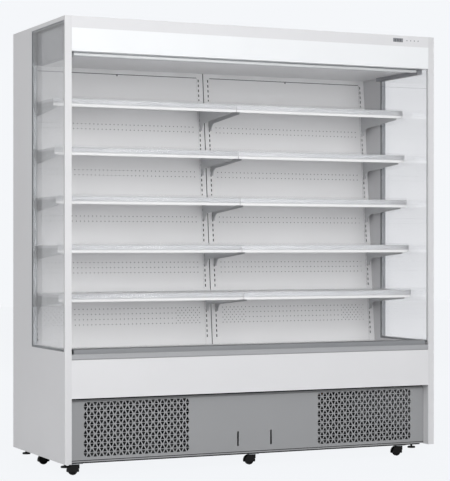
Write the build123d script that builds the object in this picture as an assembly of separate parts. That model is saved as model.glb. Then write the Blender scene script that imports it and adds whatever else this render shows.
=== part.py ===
"""Open multideck display fridge: a 1.9 m wide, self-contained, five-shelf chilled display case.

Millimetres. X runs from left to right, Y from the front (low) to the back (high), Z up from the
floor. The origin is on the floor, at the centre of the width and the depth.
"""
from build123d import *
import os
from math import cos, radians, sqrt, tan

os.makedirs("parts", exist_ok=True)

# ---------------------------------------------------------------- whole case
case_width = 1910.0
case_depth = 750.0
case_height = 2050.0
side_thickness = 32.0
side_floor_gap = 56.0      # floor to the underside of the side walls
skin_gap = 0.3             # between a moving or curved face and what it seats on
sheet = 1.2                # folded steel sheet
thin_sheet = 1.0
past = 5.0                 # how far a cutting tool passes the faces that it cuts

front = -case_depth / 2
back = case_depth / 2
inner_half = case_width / 2 - side_thickness     # side wall's inner face, where the cross parts end

# ---------------------------------------------------------------- side walls
window_front = 12.0        # depth of the front post
window_back = 466.0        # front of the case to the rear pillar
window_bottom = 556.0
window_top_rail = 19.0
pane_thickness = 4.0
pane_inset = 1.0           # pane face behind the wall face
side_corner = 1.5          # radius of the front outer corner

# ---------------------------------------------------------------- foamed body
body_bottom = 350.0
body_front_set = 20.0      # body behind the front plane
tank_wall = 35.0
tank_floor = 40.0
tank_wall_top = 519.0
rear_wall = 50.0
roof_underside = 2003.0
roof_rebate = 1.5          # depth of the seat of the fascia's top sheet
roof_front_set = 75.0
body_skin = 1.0            # steel skin around the foam space

# ---------------------------------------------------------------- front of the case
front_panel_bottom = 347.0
bumper_height = 26.0
bumper_depth = 30.0
bumper_foot_set = 3.0      # foot of the bumper behind its face
bumper_foot_height = 2.0
bumper_bevel = 2.0
grille_height = 20.0       # return air grille above the bumper
grille_front_set = 8.0
grille_depth = 82.0
grille_end_set = 12.0
grille_slot_width = 5.0
grille_slot_length = 60.0
grille_slot_pitch = 12.0
grille_plain_end = 24.0    # without slots, at each end
grille_flange = 5.0        # rear flange below the deck's top

kick_set = 46.0            # kick panel behind the front plane
kick_bottom = 58.0
kick_face_top = 328.0
kick_band_lean = 14.0      # how far the top band leans back
kick_sheet = 1.5
triangle_rows = 12
triangle_columns = 33
triangle_row_pitch = 20.7
triangle_column_pitch = 15.6
triangle_base = 18.0
triangle_height = 17.6
triangle_corner = 1.8
triangle_field_edge = 104.0   # outer side of the case to the first triangle
triangle_field_top = 326.0
hand_slot_offset = 86.0    # from the middle of the case
hand_slot_width = 8.0
hand_slot_bottom = 93.0
hand_slot_top = 161.0

# ---------------------------------------------------------------- base
caster_height = 52.0
rail_height = 40.0
rail_width = 40.0
rail_wall = 2.5
front_rail_set = 52.0
front_rail_end_set = 50.0
mid_rail_centre = 105.0
machine_floor_sheet = 1.5
machine_floor_flange = 25.0
foot_side_set = 47.0
foot_front_y = -240.0
foot_back_y = 315.0
foot_pad_diameter = 38.0
foot_pad_height = 8.0
foot_clearance = 26.0
foot_stud_diameter = 10.0
foot_nut_radius = 8.5
foot_nut_height = 3.0
foot_chamfer = 2.0

# ---------------------------------------------------------------- casters
caster_axis_left = 78.0    # outer side of the case to the swivel axis
caster_axis_right = 155.0
caster_trail = 16.0
wheel_diameter = 42.0
wheel_width = 18.0
wheel_bore_gap = 0.15
axle_diameter = 8.0
plate_thickness = 2.5
plate_size = 54.0
swivel_height = 2.2
swivel_diameter = 30.0
caster_corner = 5.0        # plate corner radius
fork_wall = 3.0
fork_crown = 2.4
fork_side_gap = 0.8
fork_nose = 12.0           # hood in front of the swivel axis
fork_throat = 8.0          # straight part of the hood above the axle
fork_skirt = 7.0           # cheeks below the axle's centre
fork_boss = 5.0
tread_radius = 2.5

# ---------------------------------------------------------------- leaning back wall
wall_lean = 5.0            # degrees back from vertical
wall_foot_set = 525.3      # front of the case to the wall face, at the deck
deck_top = 541.5
deck_front_fold = 26.0
deck_rear_fold = 20.0
upright_width = 32.0
upright_depth = 30.0
upright_sheet = 2.0
upright_seam = 2.0         # from the middle of the case to each middle upright
slot_inset = 8.0           # outer edge of an upright to its slot column
slot_pitch = 25.0
slot_height = 13.0
slot_width = 5.0
slot_first = 42.0          # deck to the first slot's centre, along the wall
panel_top_band = 21.0      # cover strip above the back panels
panel_inset = 1.0          # panel face behind the uprights' faces
cover_rise = 6.0           # cover strip above the ceiling's underside
hole_diameter = 4.2
hole_pitch = 21.0
hole_edge = 20.0           # side of the panel to its first hole

# ---------------------------------------------------------------- shelves
shelf_levels = 5
top_shelf_height = 1702.0
shelf_slot_step = 9        # slots from one shelf to the next
top_shelf_front = 240.0    # front of the case to the top shelf's front edge
shelf_seam = 1.0
shelf_end_gap = 2.0
shelf_lip = 34.0           # height of the folded front edge
shelf_hem = 9.0
shelf_hem_rise = 5.0
shelf_hem_end = 22.0       # hem cut back at each end
shelf_side_fold = 12.0
shelf_rear_fold = 10.0
shelf_wall_gap = 2.0
rail_below = 21.0          # ticket rail below the shelf top
rail_above = 13.0          # ticket rail above the shelf top
rail_thickness = 2.5
rail_hook = 8.0            # hook over the shelf's front edge
rail_hook_sheet = 1.4
rail_soft = 1.0            # softened corners
rail_rib_top = 4.0         # thick lower part of the face, above the shelf top
bracket_thickness = 3.0
bracket_tip = 24.0         # bracket tip behind the shelf's front edge
bracket_tip_height = 39.0
bracket_knee_height = 66.0
bracket_foot_height = 100.0
bracket_foot_width = 24.0
bracket_knee_set = 6.0      # knee in front of the foot's front edge
bracket_radius = 38.0
hook_slots = (1, 3)        # slots below the shelf top that take the hooks
hook_root = 1.0            # hook let into the bracket's plate
hook_height = 9.0
hook_reach = 7.0
# rows of air holes under each shelf, from the top shelf down
hole_rows = (2, 2, 2, 3, 4)
hole_row_drop = 82.0       # shelf top to its first row of holes
stagger_columns = 6        # extra half-pitch holes at each end under the lowest shelf

# ---------------------------------------------------------------- canopy
fascia_bottom = 1998.0
fascia_fold = 16.0
fascia_lap = 20.0          # fascia's top sheet, seated in a rebate along the roof's front
diffuser_bottom = 1894.5
diffuser_thickness = 2.5
canopy_depth = 37.0        # front plane to the end caps
cap_width = 27.0
cap_bottom = 1872.0
cap_back = 463.0
cap_lower_front = 60.0
ceiling_height = 1890.0
ceiling_front_set = 175.0
lamp_batten_height = 30.0
lamp_batten_depth = 12.0
lamp_tube_diameter = 16.0
lamp_tube_seat = 4.0       # tube let into the batten
lamp_end_set = 20.0        # end of the cassette to the end of the batten
lamp_tube_end_set = 30.0
ceiling_fold = 20.0
honeycomb_height = 15.0
honeycomb_cell = 13.0
honeycomb_pitch = 16.0

# ---------------------------------------------------------------- night blind
bar_height = 13.5
bar_depth = 22.0
bar_front_set = 60.0
bar_end_set = 62.0         # outer side of the case to the end of the bar
bar_round = 3.0
bar_groove_end = 12.0
bar_groove_depth = 2.0
bar_groove_width = 10.0
cloth_end_set = 8.0        # end of the bar to the edge of the cloth
cassette_front_set = 57.0
cassette_depth = 68.0
cassette_height = 66.0
cassette_sheet = 1.5
roller_diameter = 44.0
roller_pin_diameter = 8.0
roller_pin_gap = 0.05
roller_pin_reach = 7.0     # pin into the end cap
roller_end_gap = 1.0
roller_back_set = 92.0     # front plane to the roller's axis
roller_drop = 32.0         # cassette bottom to the roller's axis
cloth_thickness = 0.7
cloth_slot = 8.0

# ---------------------------------------------------------------- controller
display_centre = 752.0     # X
control_height = 2027.0
display_width = 56.0
display_height = 19.0
button_positions = (802.0, 823.0, 844.0, 865.0)
button_diameter = 6.0
button_gap = 0.2
button_depth = 3.4
button_travel = 0.6
controller_depth = 26.0
controller_height = 32.0
controller_margin = 14.0   # body beyond the display and the last button
display_gap = 0.2
display_set = 0.5          # display's face behind the fascia's

# ---------------------------------------------------------------- machinery
coil_half = 800.0
coil_front_y = -60.0
coil_depth = 150.0
coil_height = 110.0
coil_plate = 2.0
coil_fins = 24
coil_fin_share = 0.4       # fin's share of the fin pitch
coil_fin_set = 4.0         # fins inside the end plates' outline
coil_tube = 12.0
coil_rows = 3
fan_panel_y = -180.0
fan_panel_sheet = 2.0
evaporator_fan_x = 450.0
evaporator_fan_radius = 58.0
condenser_centre_x = -590.0
condenser_width = 500.0
condenser_height = 225.0
condenser_depth = 66.0
condenser_front_y = -312.0
condenser_fins = 16
condenser_fan_radius = 98.0
shroud_depth = 22.0
fan_tip_gap = 4.0
fan_blades = 5
fan_blade_pitch = 32.0     # degrees
fan_blade_chord = 0.62     # share of the fan's radius
fan_blade_thickness = 2.0
fan_blade_root = 3.0       # blade let into the hub
motor_gap = 1.0            # rotor to the face of its motor
motor_arm_width = 10.0
motor_arm_thickness = 4.0
motor_leg_thickness = 6.0
motor_leg_seat = 9.0       # fan opening to the outer side of a leg
motor_diameter = 46.0
motor_length = 42.0
shaft_diameter = 6.0
shaft_gap = 0.05
hub_length = 16.0
compressor_x = 430.0
compressor_y = 40.0
compressor_diameter = 156.0
compressor_height = 186.0
compressor_dome = 34.0     # radius of the shell's shoulders
compressor_foot_height = 14.0
compressor_foot_radius = 11.0
compressor_plate = 4.0
compressor_plate_margin = 12.0
compressor_belt_width = 6.0
compressor_belt_rise = 4.0
terminal_box_width = 60.0
terminal_box_height = 58.0
terminal_box_depth = 26.0
pipe_diameter = 10.0
pipe_offset = 30.0         # from the compressor's axis to each pipe
pipe_rise = 36.0           # pipes above the compressor
pipe_run_back = 120.0      # rising pipes behind the compressor's axis
pipe_bend = 15.0
liquid_height = 150.0
liquid_offset = 60.0       # liquid pipe beside the condenser
tray_x = -20.0
tray_width = 300.0
tray_depth = 210.0
tray_height = 38.0
tray_front_y = -60.0
tray_wall = 2.0
tray_corner = 12.0
rear_cover_bottom = 60.0
rear_cover_sheet = 2.4
louvre_rows = 9
louvre_columns = 9
louvre_length = 60.0
louvre_width = 7.0
louvre_first_x = 190.0     # from the middle of the case
louvre_first_z = 118.0
louvre_pitch_x = 78.0
louvre_pitch_z = 24.0


# ================================================================ helpers
def block(x0, x1, y0, y1, z0, z1):
    """A box between two corners."""
    return Pos((x0 + x1) / 2, (y0 + y1) / 2, (z0 + z1) / 2) * Box(x1 - x0, y1 - y0, z1 - z0)


def outline(points):
    """A face from a closed list of corner points."""
    return make_face(Polyline(*points, close=True))


def along_x(face, x0, x1):
    """Extrude a face, drawn as (y, z), from x0 to x1."""
    return extrude(Plane.YZ.offset(x0) * face, amount=x1 - x0)


def along_y(face, y0, y1):
    """Extrude a face, drawn as (x, z), from y0 to y1."""
    return extrude(Plane.XZ.offset(-y1) * face, amount=y1 - y0)


def folded(points, thickness):
    """The section of a sheet folded along a line; the sheet lies to the left of the line."""
    normals = []
    for (ax, ay), (bx, by) in zip(points, points[1:]):
        length = sqrt((bx - ax) ** 2 + (by - ay) ** 2)
        normals.append((-(by - ay) / length, (bx - ax) / length))
    corners = [normals[0]] + [
        ((a[0] + b[0]) / (1 + a[0] * b[0] + a[1] * b[1]), (a[1] + b[1]) / (1 + a[0] * b[0] + a[1] * b[1]))
        for a, b in zip(normals, normals[1:])
    ] + [normals[-1]]
    inside = [(p[0] + thickness * n[0], p[1] + thickness * n[1]) for p, n in zip(points, corners)]
    return outline(list(points) + inside[::-1])


def holed_plate(corners, holes, thickness):
    """A flat plate in the XY plane with many openings, each a closed wire."""
    rim = Polyline(*corners, close=True)
    return extrude(Face(Wire(rim.edges()), holes), amount=thickness)


def rod_y(x, z, radius, y0, y1):
    """A round bar along Y."""
    return Pos(x, (y0 + y1) / 2, z) * Rot(X=90) * Cylinder(radius, y1 - y0)


def rod_z(x, y, radius, z0, z1):
    """A round bar along Z."""
    return Pos(x, y, (z0 + z1) / 2) * Cylinder(radius, z1 - z0)


def mirrored(shape):
    """The same shape on the other side of the case."""
    return mirror(shape, about=Plane.YZ)


def save(name, *solids):
    """Write one node, as one solid or a group of separate solids."""
    export_step(solids[0] if len(solids) == 1 else Compound(children=list(solids)), f"parts/{name}.step")


# ================================================================ derived sizes
roof_seat = case_height - roof_rebate            # underside of the fascia's top sheet
roof_front = front + roof_front_set
lap_back = roof_front + fascia_lap
tank_floor_top = body_bottom + tank_floor


# ================================================================ the leaning wall's own frame
wall_foot_y = front + wall_foot_set
wall_length = (ceiling_height - deck_top) / cos(radians(wall_lean))   # along the lean, deck to ceiling
wall_frame = Pos(0, wall_foot_y, deck_top) * Rot(X=-wall_lean)   # Z up the wall, Y into it


def wall_y(z):
    """Y of the wall's front face at a height."""
    return wall_foot_y + (z - deck_top) * tan(radians(wall_lean))


upright_head = (roof_underside - deck_top) / cos(radians(wall_lean))      # above the deck, to the roof
upright_root = ((deck_top - tank_floor_top) / cos(radians(wall_lean))
                - upright_depth * tan(radians(wall_lean)))        # below the deck, to the tank floor
slot_rise = slot_pitch * cos(radians(wall_lean))                 # one slot, measured straight up
shelf_tops = [top_shelf_height - n * shelf_slot_step * slot_rise for n in range(shelf_levels)]
shelf_fronts = [front + top_shelf_front - (shelf_tops[0] - z) * tan(radians(wall_lean)) for z in shelf_tops]
upright_edges = (-inner_half, -upright_width - upright_seam, upright_seam, inner_half - upright_width)
end_slot_x = upright_edges[3] + slot_inset
middle_slot_x = upright_edges[2] + upright_width - slot_inset
bracket_columns = (-end_slot_x, -middle_slot_x, middle_slot_x, end_slot_x)
bay_inner, bay_outer = upright_seam + upright_width, upright_edges[3]     # back panel's sides


# ================================================================ base
machine_floor_top = caster_height + rail_height + machine_floor_sheet
caster_axes_x = (-case_width / 2 + caster_axis_left, 0.0, case_width / 2 - caster_axis_right)
front_rail_centre = front + front_rail_set + rail_width / 2
caster_axes = [(x, y) for y in (front_rail_centre, mid_rail_centre) for x in caster_axes_x]


def box_rail(x0, x1, y0, y1):
    """A square tube of the base frame, lying along its longer side."""
    z0, z1 = caster_height, caster_height + rail_height
    tube = block(x0, x1, y0, y1, z0, z1)
    if x1 - x0 > y1 - y0:
        return tube - block(x0, x1, y0 + rail_wall, y1 - rail_wall, z0 + rail_wall, z1 - rail_wall)
    return tube - block(x0 + rail_wall, x1 - rail_wall, y0, y1, z0 + rail_wall, z1 - rail_wall)


def make_base_frame():
    """Front, middle and rear tubes, and one tube along each side."""
    rail_front = front + front_rail_set
    rail_half = case_width / 2 - front_rail_end_set
    side_front = rail_front + rail_width
    rear_rail_back = back - rear_cover_sheet
    side_inner = inner_half - rail_width
    rails = [box_rail(-rail_half, rail_half, rail_front, side_front)]
    for centre in (mid_rail_centre, rear_rail_back - rail_width / 2):
        rails.append(box_rail(-side_inner, side_inner, centre - rail_width / 2, centre + rail_width / 2))
    rails.append(box_rail(side_inner, inner_half, side_front, rear_rail_back))
    rails.append(box_rail(-inner_half, -side_inner, side_front, rear_rail_back))
    save("base_frame", *rails)


def make_machine_floor():
    """The sheet that carries the condensing unit, turned up at both ends."""
    top = machine_floor_top
    low = top - machine_floor_sheet
    inner = inner_half - machine_floor_sheet
    section = outline([
        (-inner_half, low), (inner_half, low), (inner_half, low + machine_floor_flange),
        (inner, low + machine_floor_flange), (inner, top), (-inner, top),
        (-inner, low + machine_floor_flange), (-inner_half, low + machine_floor_flange),
    ])
    save("machine_floor", along_y(section, front + front_rail_set, back - rear_cover_sheet))


def make_levelling_feet():
    """Four screw feet, raised off the floor while the case stands on its casters."""
    feet = []
    for x in (-case_width / 2 + foot_side_set, case_width / 2 - foot_side_set):
        for y in (foot_front_y, foot_back_y):
            pad = rod_z(x, y, foot_pad_diameter / 2, foot_clearance, foot_clearance + foot_pad_height)
            pad = chamfer(pad.edges().sort_by(Axis.Z)[-1], foot_chamfer)
            stud = rod_z(x, y, foot_stud_diameter / 2, foot_clearance + foot_pad_height, caster_height)
            nut = extrude(RegularPolygon(foot_nut_radius, 6), amount=foot_nut_height)
            feet.append(pad + stud + Pos(x, y, caster_height - foot_nut_height) * nut)
    save("levelling_feet", *feet)


# ================================================================ casters
def make_caster_plates():
    """The fixed top plate and ball race of each caster."""
    plates = []
    for x, y in caster_axes:
        plate_low = caster_height - plate_thickness
        half = plate_size / 2
        plate = block(x - half, x + half, y - rail_width / 2, y + rail_width / 2, plate_low, caster_height)
        plate = fillet(plate.edges().filter_by(Axis.Z), caster_corner)
        race = rod_z(x, y, swivel_diameter / 2, plate_low - swivel_height, plate_low)
        plates.append(plate + race)
    save("caster_plates", *plates)


def caster_fork(x, y):
    """The swivelling hood over the wheel, with the axle in its cheeks."""
    crown_top = caster_height - plate_thickness - swivel_height - skin_gap
    axle_z = wheel_diameter / 2
    wheel_x = x - caster_trail
    cheek_in = wheel_width / 2 + fork_side_gap
    cheek_out = cheek_in + fork_wall
    hood_radius = crown_top - axle_z
    hood = rod_y(wheel_x, axle_z, hood_radius, y - cheek_out, y + cheek_out)
    hood += block(wheel_x, x + fork_nose, y - cheek_out, y + cheek_out, axle_z + fork_throat, crown_top)
    inside = rod_y(wheel_x, axle_z, hood_radius - fork_crown, y - cheek_in, y + cheek_in)
    inside += block(wheel_x, x + fork_nose, y - cheek_in, y + cheek_in, 0, crown_top - fork_throat)
    hood -= inside
    hood -= block(wheel_x - hood_radius, x + fork_nose, y - cheek_out, y + cheek_out,
                  -hood_radius, axle_z - fork_skirt)
    boss = rod_z(x, y, swivel_diameter / 2, crown_top - fork_boss, crown_top) - inside
    axle = rod_y(wheel_x, axle_z, axle_diameter / 2, y - cheek_out, y + cheek_out)
    return hood + boss + axle


def caster_wheel(x, y):
    """Tread with rounded shoulders and a bored hub."""
    centre_x, radius = x - caster_trail, wheel_diameter / 2
    wheel = rod_y(centre_x, radius, radius, y - wheel_width / 2, y + wheel_width / 2)
    wheel = fillet(wheel.edges().filter_by(GeomType.CIRCLE), tread_radius)
    bore = axle_diameter / 2 + wheel_bore_gap
    return wheel - rod_y(centre_x, radius, bore, y - wheel_width, y + wheel_width)


def make_casters():
    for number, (x, y) in enumerate(caster_axes, start=1):
        save(f"caster_fork_{number}", caster_fork(x, y))
        save(f"caster_wheel_{number}", caster_wheel(x, y))


# ================================================================ walls
def make_side_walls():
    """Each side wall with its window, and two panes in the window."""
    window = (front + window_front, front + window_back, window_bottom, case_height - window_top_rail)
    wall = block(inner_half, case_width / 2, front, back, side_floor_gap, case_height)
    wall -= block(inner_half - past, case_width / 2 + past, *window)
    corner = wall.edges().filter_by(Axis.Z).sort_by(Axis.Y)[:2].sort_by(Axis.X)[-1]
    wall = fillet(corner, side_corner)
    save("side_wall_right", wall)
    save("side_wall_left", mirrored(wall))
    panes = []
    for x0 in (inner_half + pane_inset, case_width / 2 - pane_inset - pane_thickness):
        pane = block(x0, x0 + pane_thickness, *window)
        panes += [pane, mirrored(pane)]
    save("side_glass", *panes)


def body_section(inset):
    """The C-shaped section of the foamed body, drawn in by inset all round."""
    y_front, y_back = front + body_front_set + inset, back - inset
    y_lap, y_roof = lap_back + inset, roof_front + inset
    y_wall, y_tank = back - rear_wall + inset, front + body_front_set + tank_wall - inset
    z_low, z_top, z_seat = body_bottom + inset, case_height - inset, roof_seat - inset
    return outline([
        (y_front, z_low), (y_back, z_low), (y_back, z_top), (y_lap, z_top), (y_lap, z_seat), (y_roof, z_seat),
        (y_roof, roof_underside + inset), (y_wall, roof_underside + inset),
        (y_wall, tank_floor_top - inset), (y_tank, tank_floor_top - inset),
        (y_tank, tank_wall_top - inset), (y_front, tank_wall_top - inset),
    ])


def make_insulated_body():
    """Tank, rear wall and roof as one skin around the foam space."""
    shell = along_x(body_section(0) - body_section(body_skin), -inner_half, inner_half)
    cap_inner = inner_half - cap_width
    for x0, x1 in ((cap_inner, inner_half), (-inner_half, -cap_inner)):
        shell -= block(x0, x1, front, front + cap_back, roof_underside - past, case_height + past)
    save("insulated_body", shell)


def make_front_panel():
    """The white front sheet below the bumper, folded back at its top and bottom."""
    back_y = front + body_front_set
    section = folded([
        (back_y, front_panel_bottom), (front, front_panel_bottom),
        (front, tank_wall_top), (back_y, tank_wall_top),
    ][::-1], sheet)
    save("front_panel", along_x(section, -inner_half, inner_half))


def make_bumper():
    """The grey bumper extrusion: a lip at its foot, a soft top edge and a seat for the grille."""
    low, top = tank_wall_top, tank_wall_top + bumper_height
    section = outline([
        (front + bumper_foot_set, low), (front + bumper_foot_set, low + bumper_foot_height),
        (front, low + bumper_foot_height + bumper_bevel), (front, top - bumper_bevel),
        (front + bumper_bevel, top),
        (front + bumper_depth, top), (front + bumper_depth, low),
    ])
    save("bumper_rail", along_x(section, -inner_half, inner_half))


def make_return_grille():
    """Folded grille over the return duct, slotted along its top."""
    low = tank_wall_top + bumper_height
    top = low + grille_height
    y0 = front + grille_front_set
    y1 = y0 + grille_depth
    half = inner_half - grille_end_set
    flange_low = deck_top - grille_flange
    section = folded([(y1, flange_low), (y1, top), (y0, top), (y0, low)], sheet)
    grille = along_x(section, -half, half)
    count = int(2 * (half - grille_plain_end) / grille_slot_pitch)
    middle = (y0 + y1) / 2
    slots = [
        block(x - grille_slot_width / 2, x + grille_slot_width / 2,
              middle - grille_slot_length / 2, middle + grille_slot_length / 2, top - sheet, top)
        for x in ((n - (count - 1) / 2) * grille_slot_pitch for n in range(count))
    ]
    save("return_air_grille", grille - slots)


def triangle_wire(x, y, points_up):
    """One triangular air hole with softened corners, drawn about its middle."""
    half, rise = triangle_base / 2, triangle_height / 2 * (1 if points_up else -1)
    soft = triangle_corner
    run = soft * half / sqrt(half ** 2 + triangle_height ** 2)
    fall = soft * triangle_height / sqrt(half ** 2 + triangle_height ** 2) * (1 if points_up else -1)
    corners = [
        (x - half + soft, y - rise), (x + half - soft, y - rise), (x + half - run, y - rise + fall),
        (x + run, y + rise - fall), (x - run, y + rise - fall), (x - half + run, y - rise + fall),
    ]
    return Wire(Polyline(*corners, close=True).edges())


def slot_wire(x, y0, y1, width):
    """A slot with square ends."""
    half = width / 2
    corners = [(x - half, y0), (x + half, y0), (x + half, y1), (x - half, y1)]
    return Wire(Polyline(*corners, close=True).edges())


def kick_openings():
    """Two fields of triangles and two hand slots, drawn as (x, z)."""
    first = -case_width / 2 + triangle_field_edge + triangle_base / 2
    wires = []
    for row in range(triangle_rows):
        z = triangle_field_top - triangle_height / 2 - row * triangle_row_pitch
        for column in range(triangle_columns):
            x = first + column * triangle_column_pitch
            up = (row + column) % 2 == 0
            wires += [triangle_wire(x, z, up), triangle_wire(-x, z, up)]
    for x in (-hand_slot_offset, hand_slot_offset):
        wires.append(slot_wire(x, hand_slot_bottom, hand_slot_top, hand_slot_width))
    return wires


def make_kick_panel():
    """The grey service panel: perforated face, leaning top band and a folded foot."""
    y0 = front + kick_set
    foot_back = front + front_rail_set
    half = inner_half
    corners = [(-half, kick_bottom), (half, kick_bottom), (half, kick_face_top), (-half, kick_face_top)]
    face = Pos(0, y0 + kick_sheet, 0) * Rot(X=90) * holed_plate(corners, kick_openings(), kick_sheet)
    band = folded([(y0 + kick_band_lean, body_bottom), (y0, kick_face_top)], kick_sheet)
    foot = block(-half, half, y0 + kick_sheet, foot_back, kick_bottom, kick_bottom + kick_sheet)
    save("kick_panel", face + along_x(band, -half, half) + foot)


def make_rear_cover():
    """The rear cover of the machine space, with two fields of slots."""
    half = inner_half
    corners = [(-half, rear_cover_bottom), (half, rear_cover_bottom),
               (half, body_bottom), (-half, body_bottom)]
    wires = []
    for side in (-1, 1):
        for column in range(louvre_columns):
            for row in range(louvre_rows):
                x = side * (louvre_first_x + column * louvre_pitch_x)
                z = louvre_first_z + row * louvre_pitch_z
                wires.append(slot_wire(x, z - louvre_width / 2, z + louvre_width / 2, louvre_length))
    cover = Pos(0, back, 0) * Rot(X=90) * holed_plate(corners, wires, rear_cover_sheet)
    save("rear_cover", cover)


# ================================================================ inside of the display space
def make_deck():
    """Two deck pans over the tank, folded down at front and back."""
    y0 = front + grille_front_set + grille_depth
    y1 = wall_y(deck_top - deck_rear_fold)
    section = folded([
        (y1, deck_top - deck_rear_fold), (y1, deck_top), (y0, deck_top), (y0, deck_top - deck_front_fold),
    ], thin_sheet)
    pans = [along_x(section, shelf_seam, inner_half), along_x(section, -inner_half, -shelf_seam)]
    save("deck_pans", *pans)


def hole_heights():
    """Each row of air holes: its distance up the wall, and whether it is a staggered one."""
    rows = []
    for shelf_top, count in zip(shelf_tops, hole_rows):
        first = (shelf_top - hole_row_drop - deck_top) / cos(radians(wall_lean))
        rows += [(first - n * slot_pitch, False) for n in range(count)]
        if count == max(hole_rows):
            rows += [(first - (n + 0.5) * slot_pitch, True) for n in range(count - 1)]
    return rows


def hole_wires(x0, x1):
    """The round air holes of one back panel."""
    count = int((x1 - x0 - 2 * hole_edge) / hole_pitch) + 1
    first = (x0 + x1 - (count - 1) * hole_pitch) / 2
    wires = []
    for height, staggered in hole_heights():
        for n in range(count - 1 if staggered else count):
            if staggered and stagger_columns <= n < count - 1 - stagger_columns:
                continue
            x = first + (n + (0.5 if staggered else 0)) * hole_pitch
            wires.append(Wire([Edge.make_circle(hole_diameter / 2, Plane((x, height, 0)))]))
    return wires


def wall_strip(x0, x1, z0, z1, inset=0.0, holes=()):
    """A flat sheet along the leaning wall, its face behind the uprights' faces by inset."""
    corners = [(x0, z0), (x1, z0), (x1, z1), (x0, z1)]
    plate = holed_plate(corners, list(holes), thin_sheet)
    return wall_frame * (Pos(0, inset + thin_sheet, 0) * Rot(X=90) * plate)


def make_back_panels():
    """The two perforated back panels between the uprights."""
    top = wall_length - panel_top_band
    panels = [
        wall_strip(a, b, 0, top, panel_inset, hole_wires(a, b))
        for a, b in ((-bay_outer, -bay_inner), (bay_inner, bay_outer))
    ]
    save("back_panels", *panels)


def upright(x0, slot_x):
    """A slotted channel from the tank floor to the roof, its web to the front."""
    x1 = x0 + upright_width
    section = outline([
        (x0, 0), (x1, 0), (x1, upright_depth), (x1 - upright_sheet, upright_depth),
        (x1 - upright_sheet, upright_sheet), (x0 + upright_sheet, upright_sheet),
        (x0 + upright_sheet, upright_depth), (x0, upright_depth),
    ])
    channel = Pos(0, 0, -upright_root) * extrude(section, amount=upright_root + upright_head)
    count = int((wall_length - panel_top_band - slot_first - slot_height) / slot_pitch) + 1
    heights = (slot_first + n * slot_pitch for n in range(count))
    slot = Box(slot_width, upright_sheet + 2 * past, slot_height)
    return wall_frame * (channel - [Pos(slot_x, upright_sheet / 2, z) * slot for z in heights])


def make_uprights():
    """Four uprights, and the cover strips between their heads."""
    solids = [upright(x0, slot_x) for x0, slot_x in zip(upright_edges, bracket_columns)]
    for a, b in ((-bay_outer, -bay_inner), (bay_inner, bay_outer)):
        solids.append(wall_strip(a, b, wall_length - panel_top_band, wall_length + cover_rise))
    save("shelf_uprights", *solids)


def bracket(x, shelf_top, shelf_front):
    """One shelf bracket: a slender arm, a round knee and two hooks."""
    top = shelf_top - sheet
    tip = shelf_front + bracket_tip
    knee_z, foot_z = shelf_top - bracket_knee_height, shelf_top - bracket_foot_height
    foot_y = wall_y(foot_z) - bracket_foot_width
    knee_y = foot_y - bracket_knee_set
    lower = FilletPolyline((tip, top - bracket_tip_height), (knee_y, knee_z), (foot_y, foot_z),
                           radius=bracket_radius)
    rest = Polyline((foot_y, foot_z), (wall_y(foot_z), foot_z), (wall_y(top), top), (tip, top),
                    (tip, top - bracket_tip_height))
    plate = along_x(make_face(Curve() + [lower, rest]), x - bracket_thickness / 2, x + bracket_thickness / 2)
    hooks = []
    for drop in hook_slots:
        along = (shelf_top - deck_top) / cos(radians(wall_lean)) - drop * slot_pitch
        slot = slot_first + round((along - slot_first) / slot_pitch) * slot_pitch
        hook = Box(bracket_thickness, hook_reach + hook_root, hook_height)
        hooks.append(wall_frame * Pos(x, (hook_reach - hook_root) / 2, slot) * hook)
    return plate + hooks


def make_brackets():
    solids = [bracket(x, z, y) for z, y in zip(shelf_tops, shelf_fronts) for x in bracket_columns]
    save("shelf_brackets", *solids)


def shelf_tray(x0, x1, shelf_top, shelf_front):
    """A folded shelf, as its plate and the folds along its edges, each a straight piece: the
    front edge with its hem, the rear edge turned up, and one fold down at each side."""
    lip_y = shelf_front + rail_thickness
    plate_y, rear_y = lip_y + sheet, wall_y(shelf_top) - shelf_wall_gap
    under, low = shelf_top - sheet, shelf_top - shelf_lip
    hem_x0, hem_x1 = x0 + shelf_hem_end, x1 - shelf_hem_end
    plate = block(x0, x1, plate_y, rear_y, under, shelf_top)
    front_edge = block(x0, x1, lip_y, plate_y, low + sheet, shelf_top)
    front_edge += block(hem_x0, hem_x1, lip_y - sheet, lip_y + shelf_hem, low, low + sheet)
    front_edge += block(hem_x0, hem_x1, lip_y - sheet, lip_y, low + sheet, low + shelf_hem_rise)
    rear_fold = block(x0, x1, rear_y, rear_y + sheet, under, shelf_top + shelf_rear_fold)
    side_folds = [block(edge, edge + sheet, plate_y, rear_y, shelf_top - shelf_side_fold, under)
                  for edge in (x0, x1 - sheet)]
    return [plate, front_edge, rear_fold, *side_folds]


def shelf_bays():
    """X range of the left and right shelves."""
    end = inner_half - shelf_end_gap
    return ((-end, -shelf_seam), (shelf_seam, end))


def make_shelves():
    for number, (z, y) in enumerate(zip(shelf_tops, shelf_fronts), start=1):
        save(f"shelf_{number}", *(solid for x0, x1 in shelf_bays() for solid in shelf_tray(x0, x1, z, y)))


def ticket_rail(x0, x1, shelf_top, shelf_front):
    """The price rail on a shelf's front edge: a face that hooks over the edge."""
    back_y, hook_y = shelf_front + rail_thickness, shelf_front + rail_thickness + rail_hook
    strip_y, soft_y = back_y - rail_hook_sheet, shelf_front + rail_soft
    low, top = shelf_top - rail_below, shelf_top + rail_above
    hook_top, rib_top = shelf_top + rail_hook_sheet, shelf_top + rail_rib_top
    section = outline([
        (soft_y, low), (back_y, low), (back_y, shelf_top), (hook_y, shelf_top), (hook_y, hook_top),
        (back_y, hook_top), (back_y, top), (strip_y, top), (strip_y, rib_top + rail_soft),
        (soft_y, rib_top), (shelf_front, rib_top - rail_soft), (shelf_front, low + rail_soft),
    ])
    return along_x(section, x0, x1)


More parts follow.
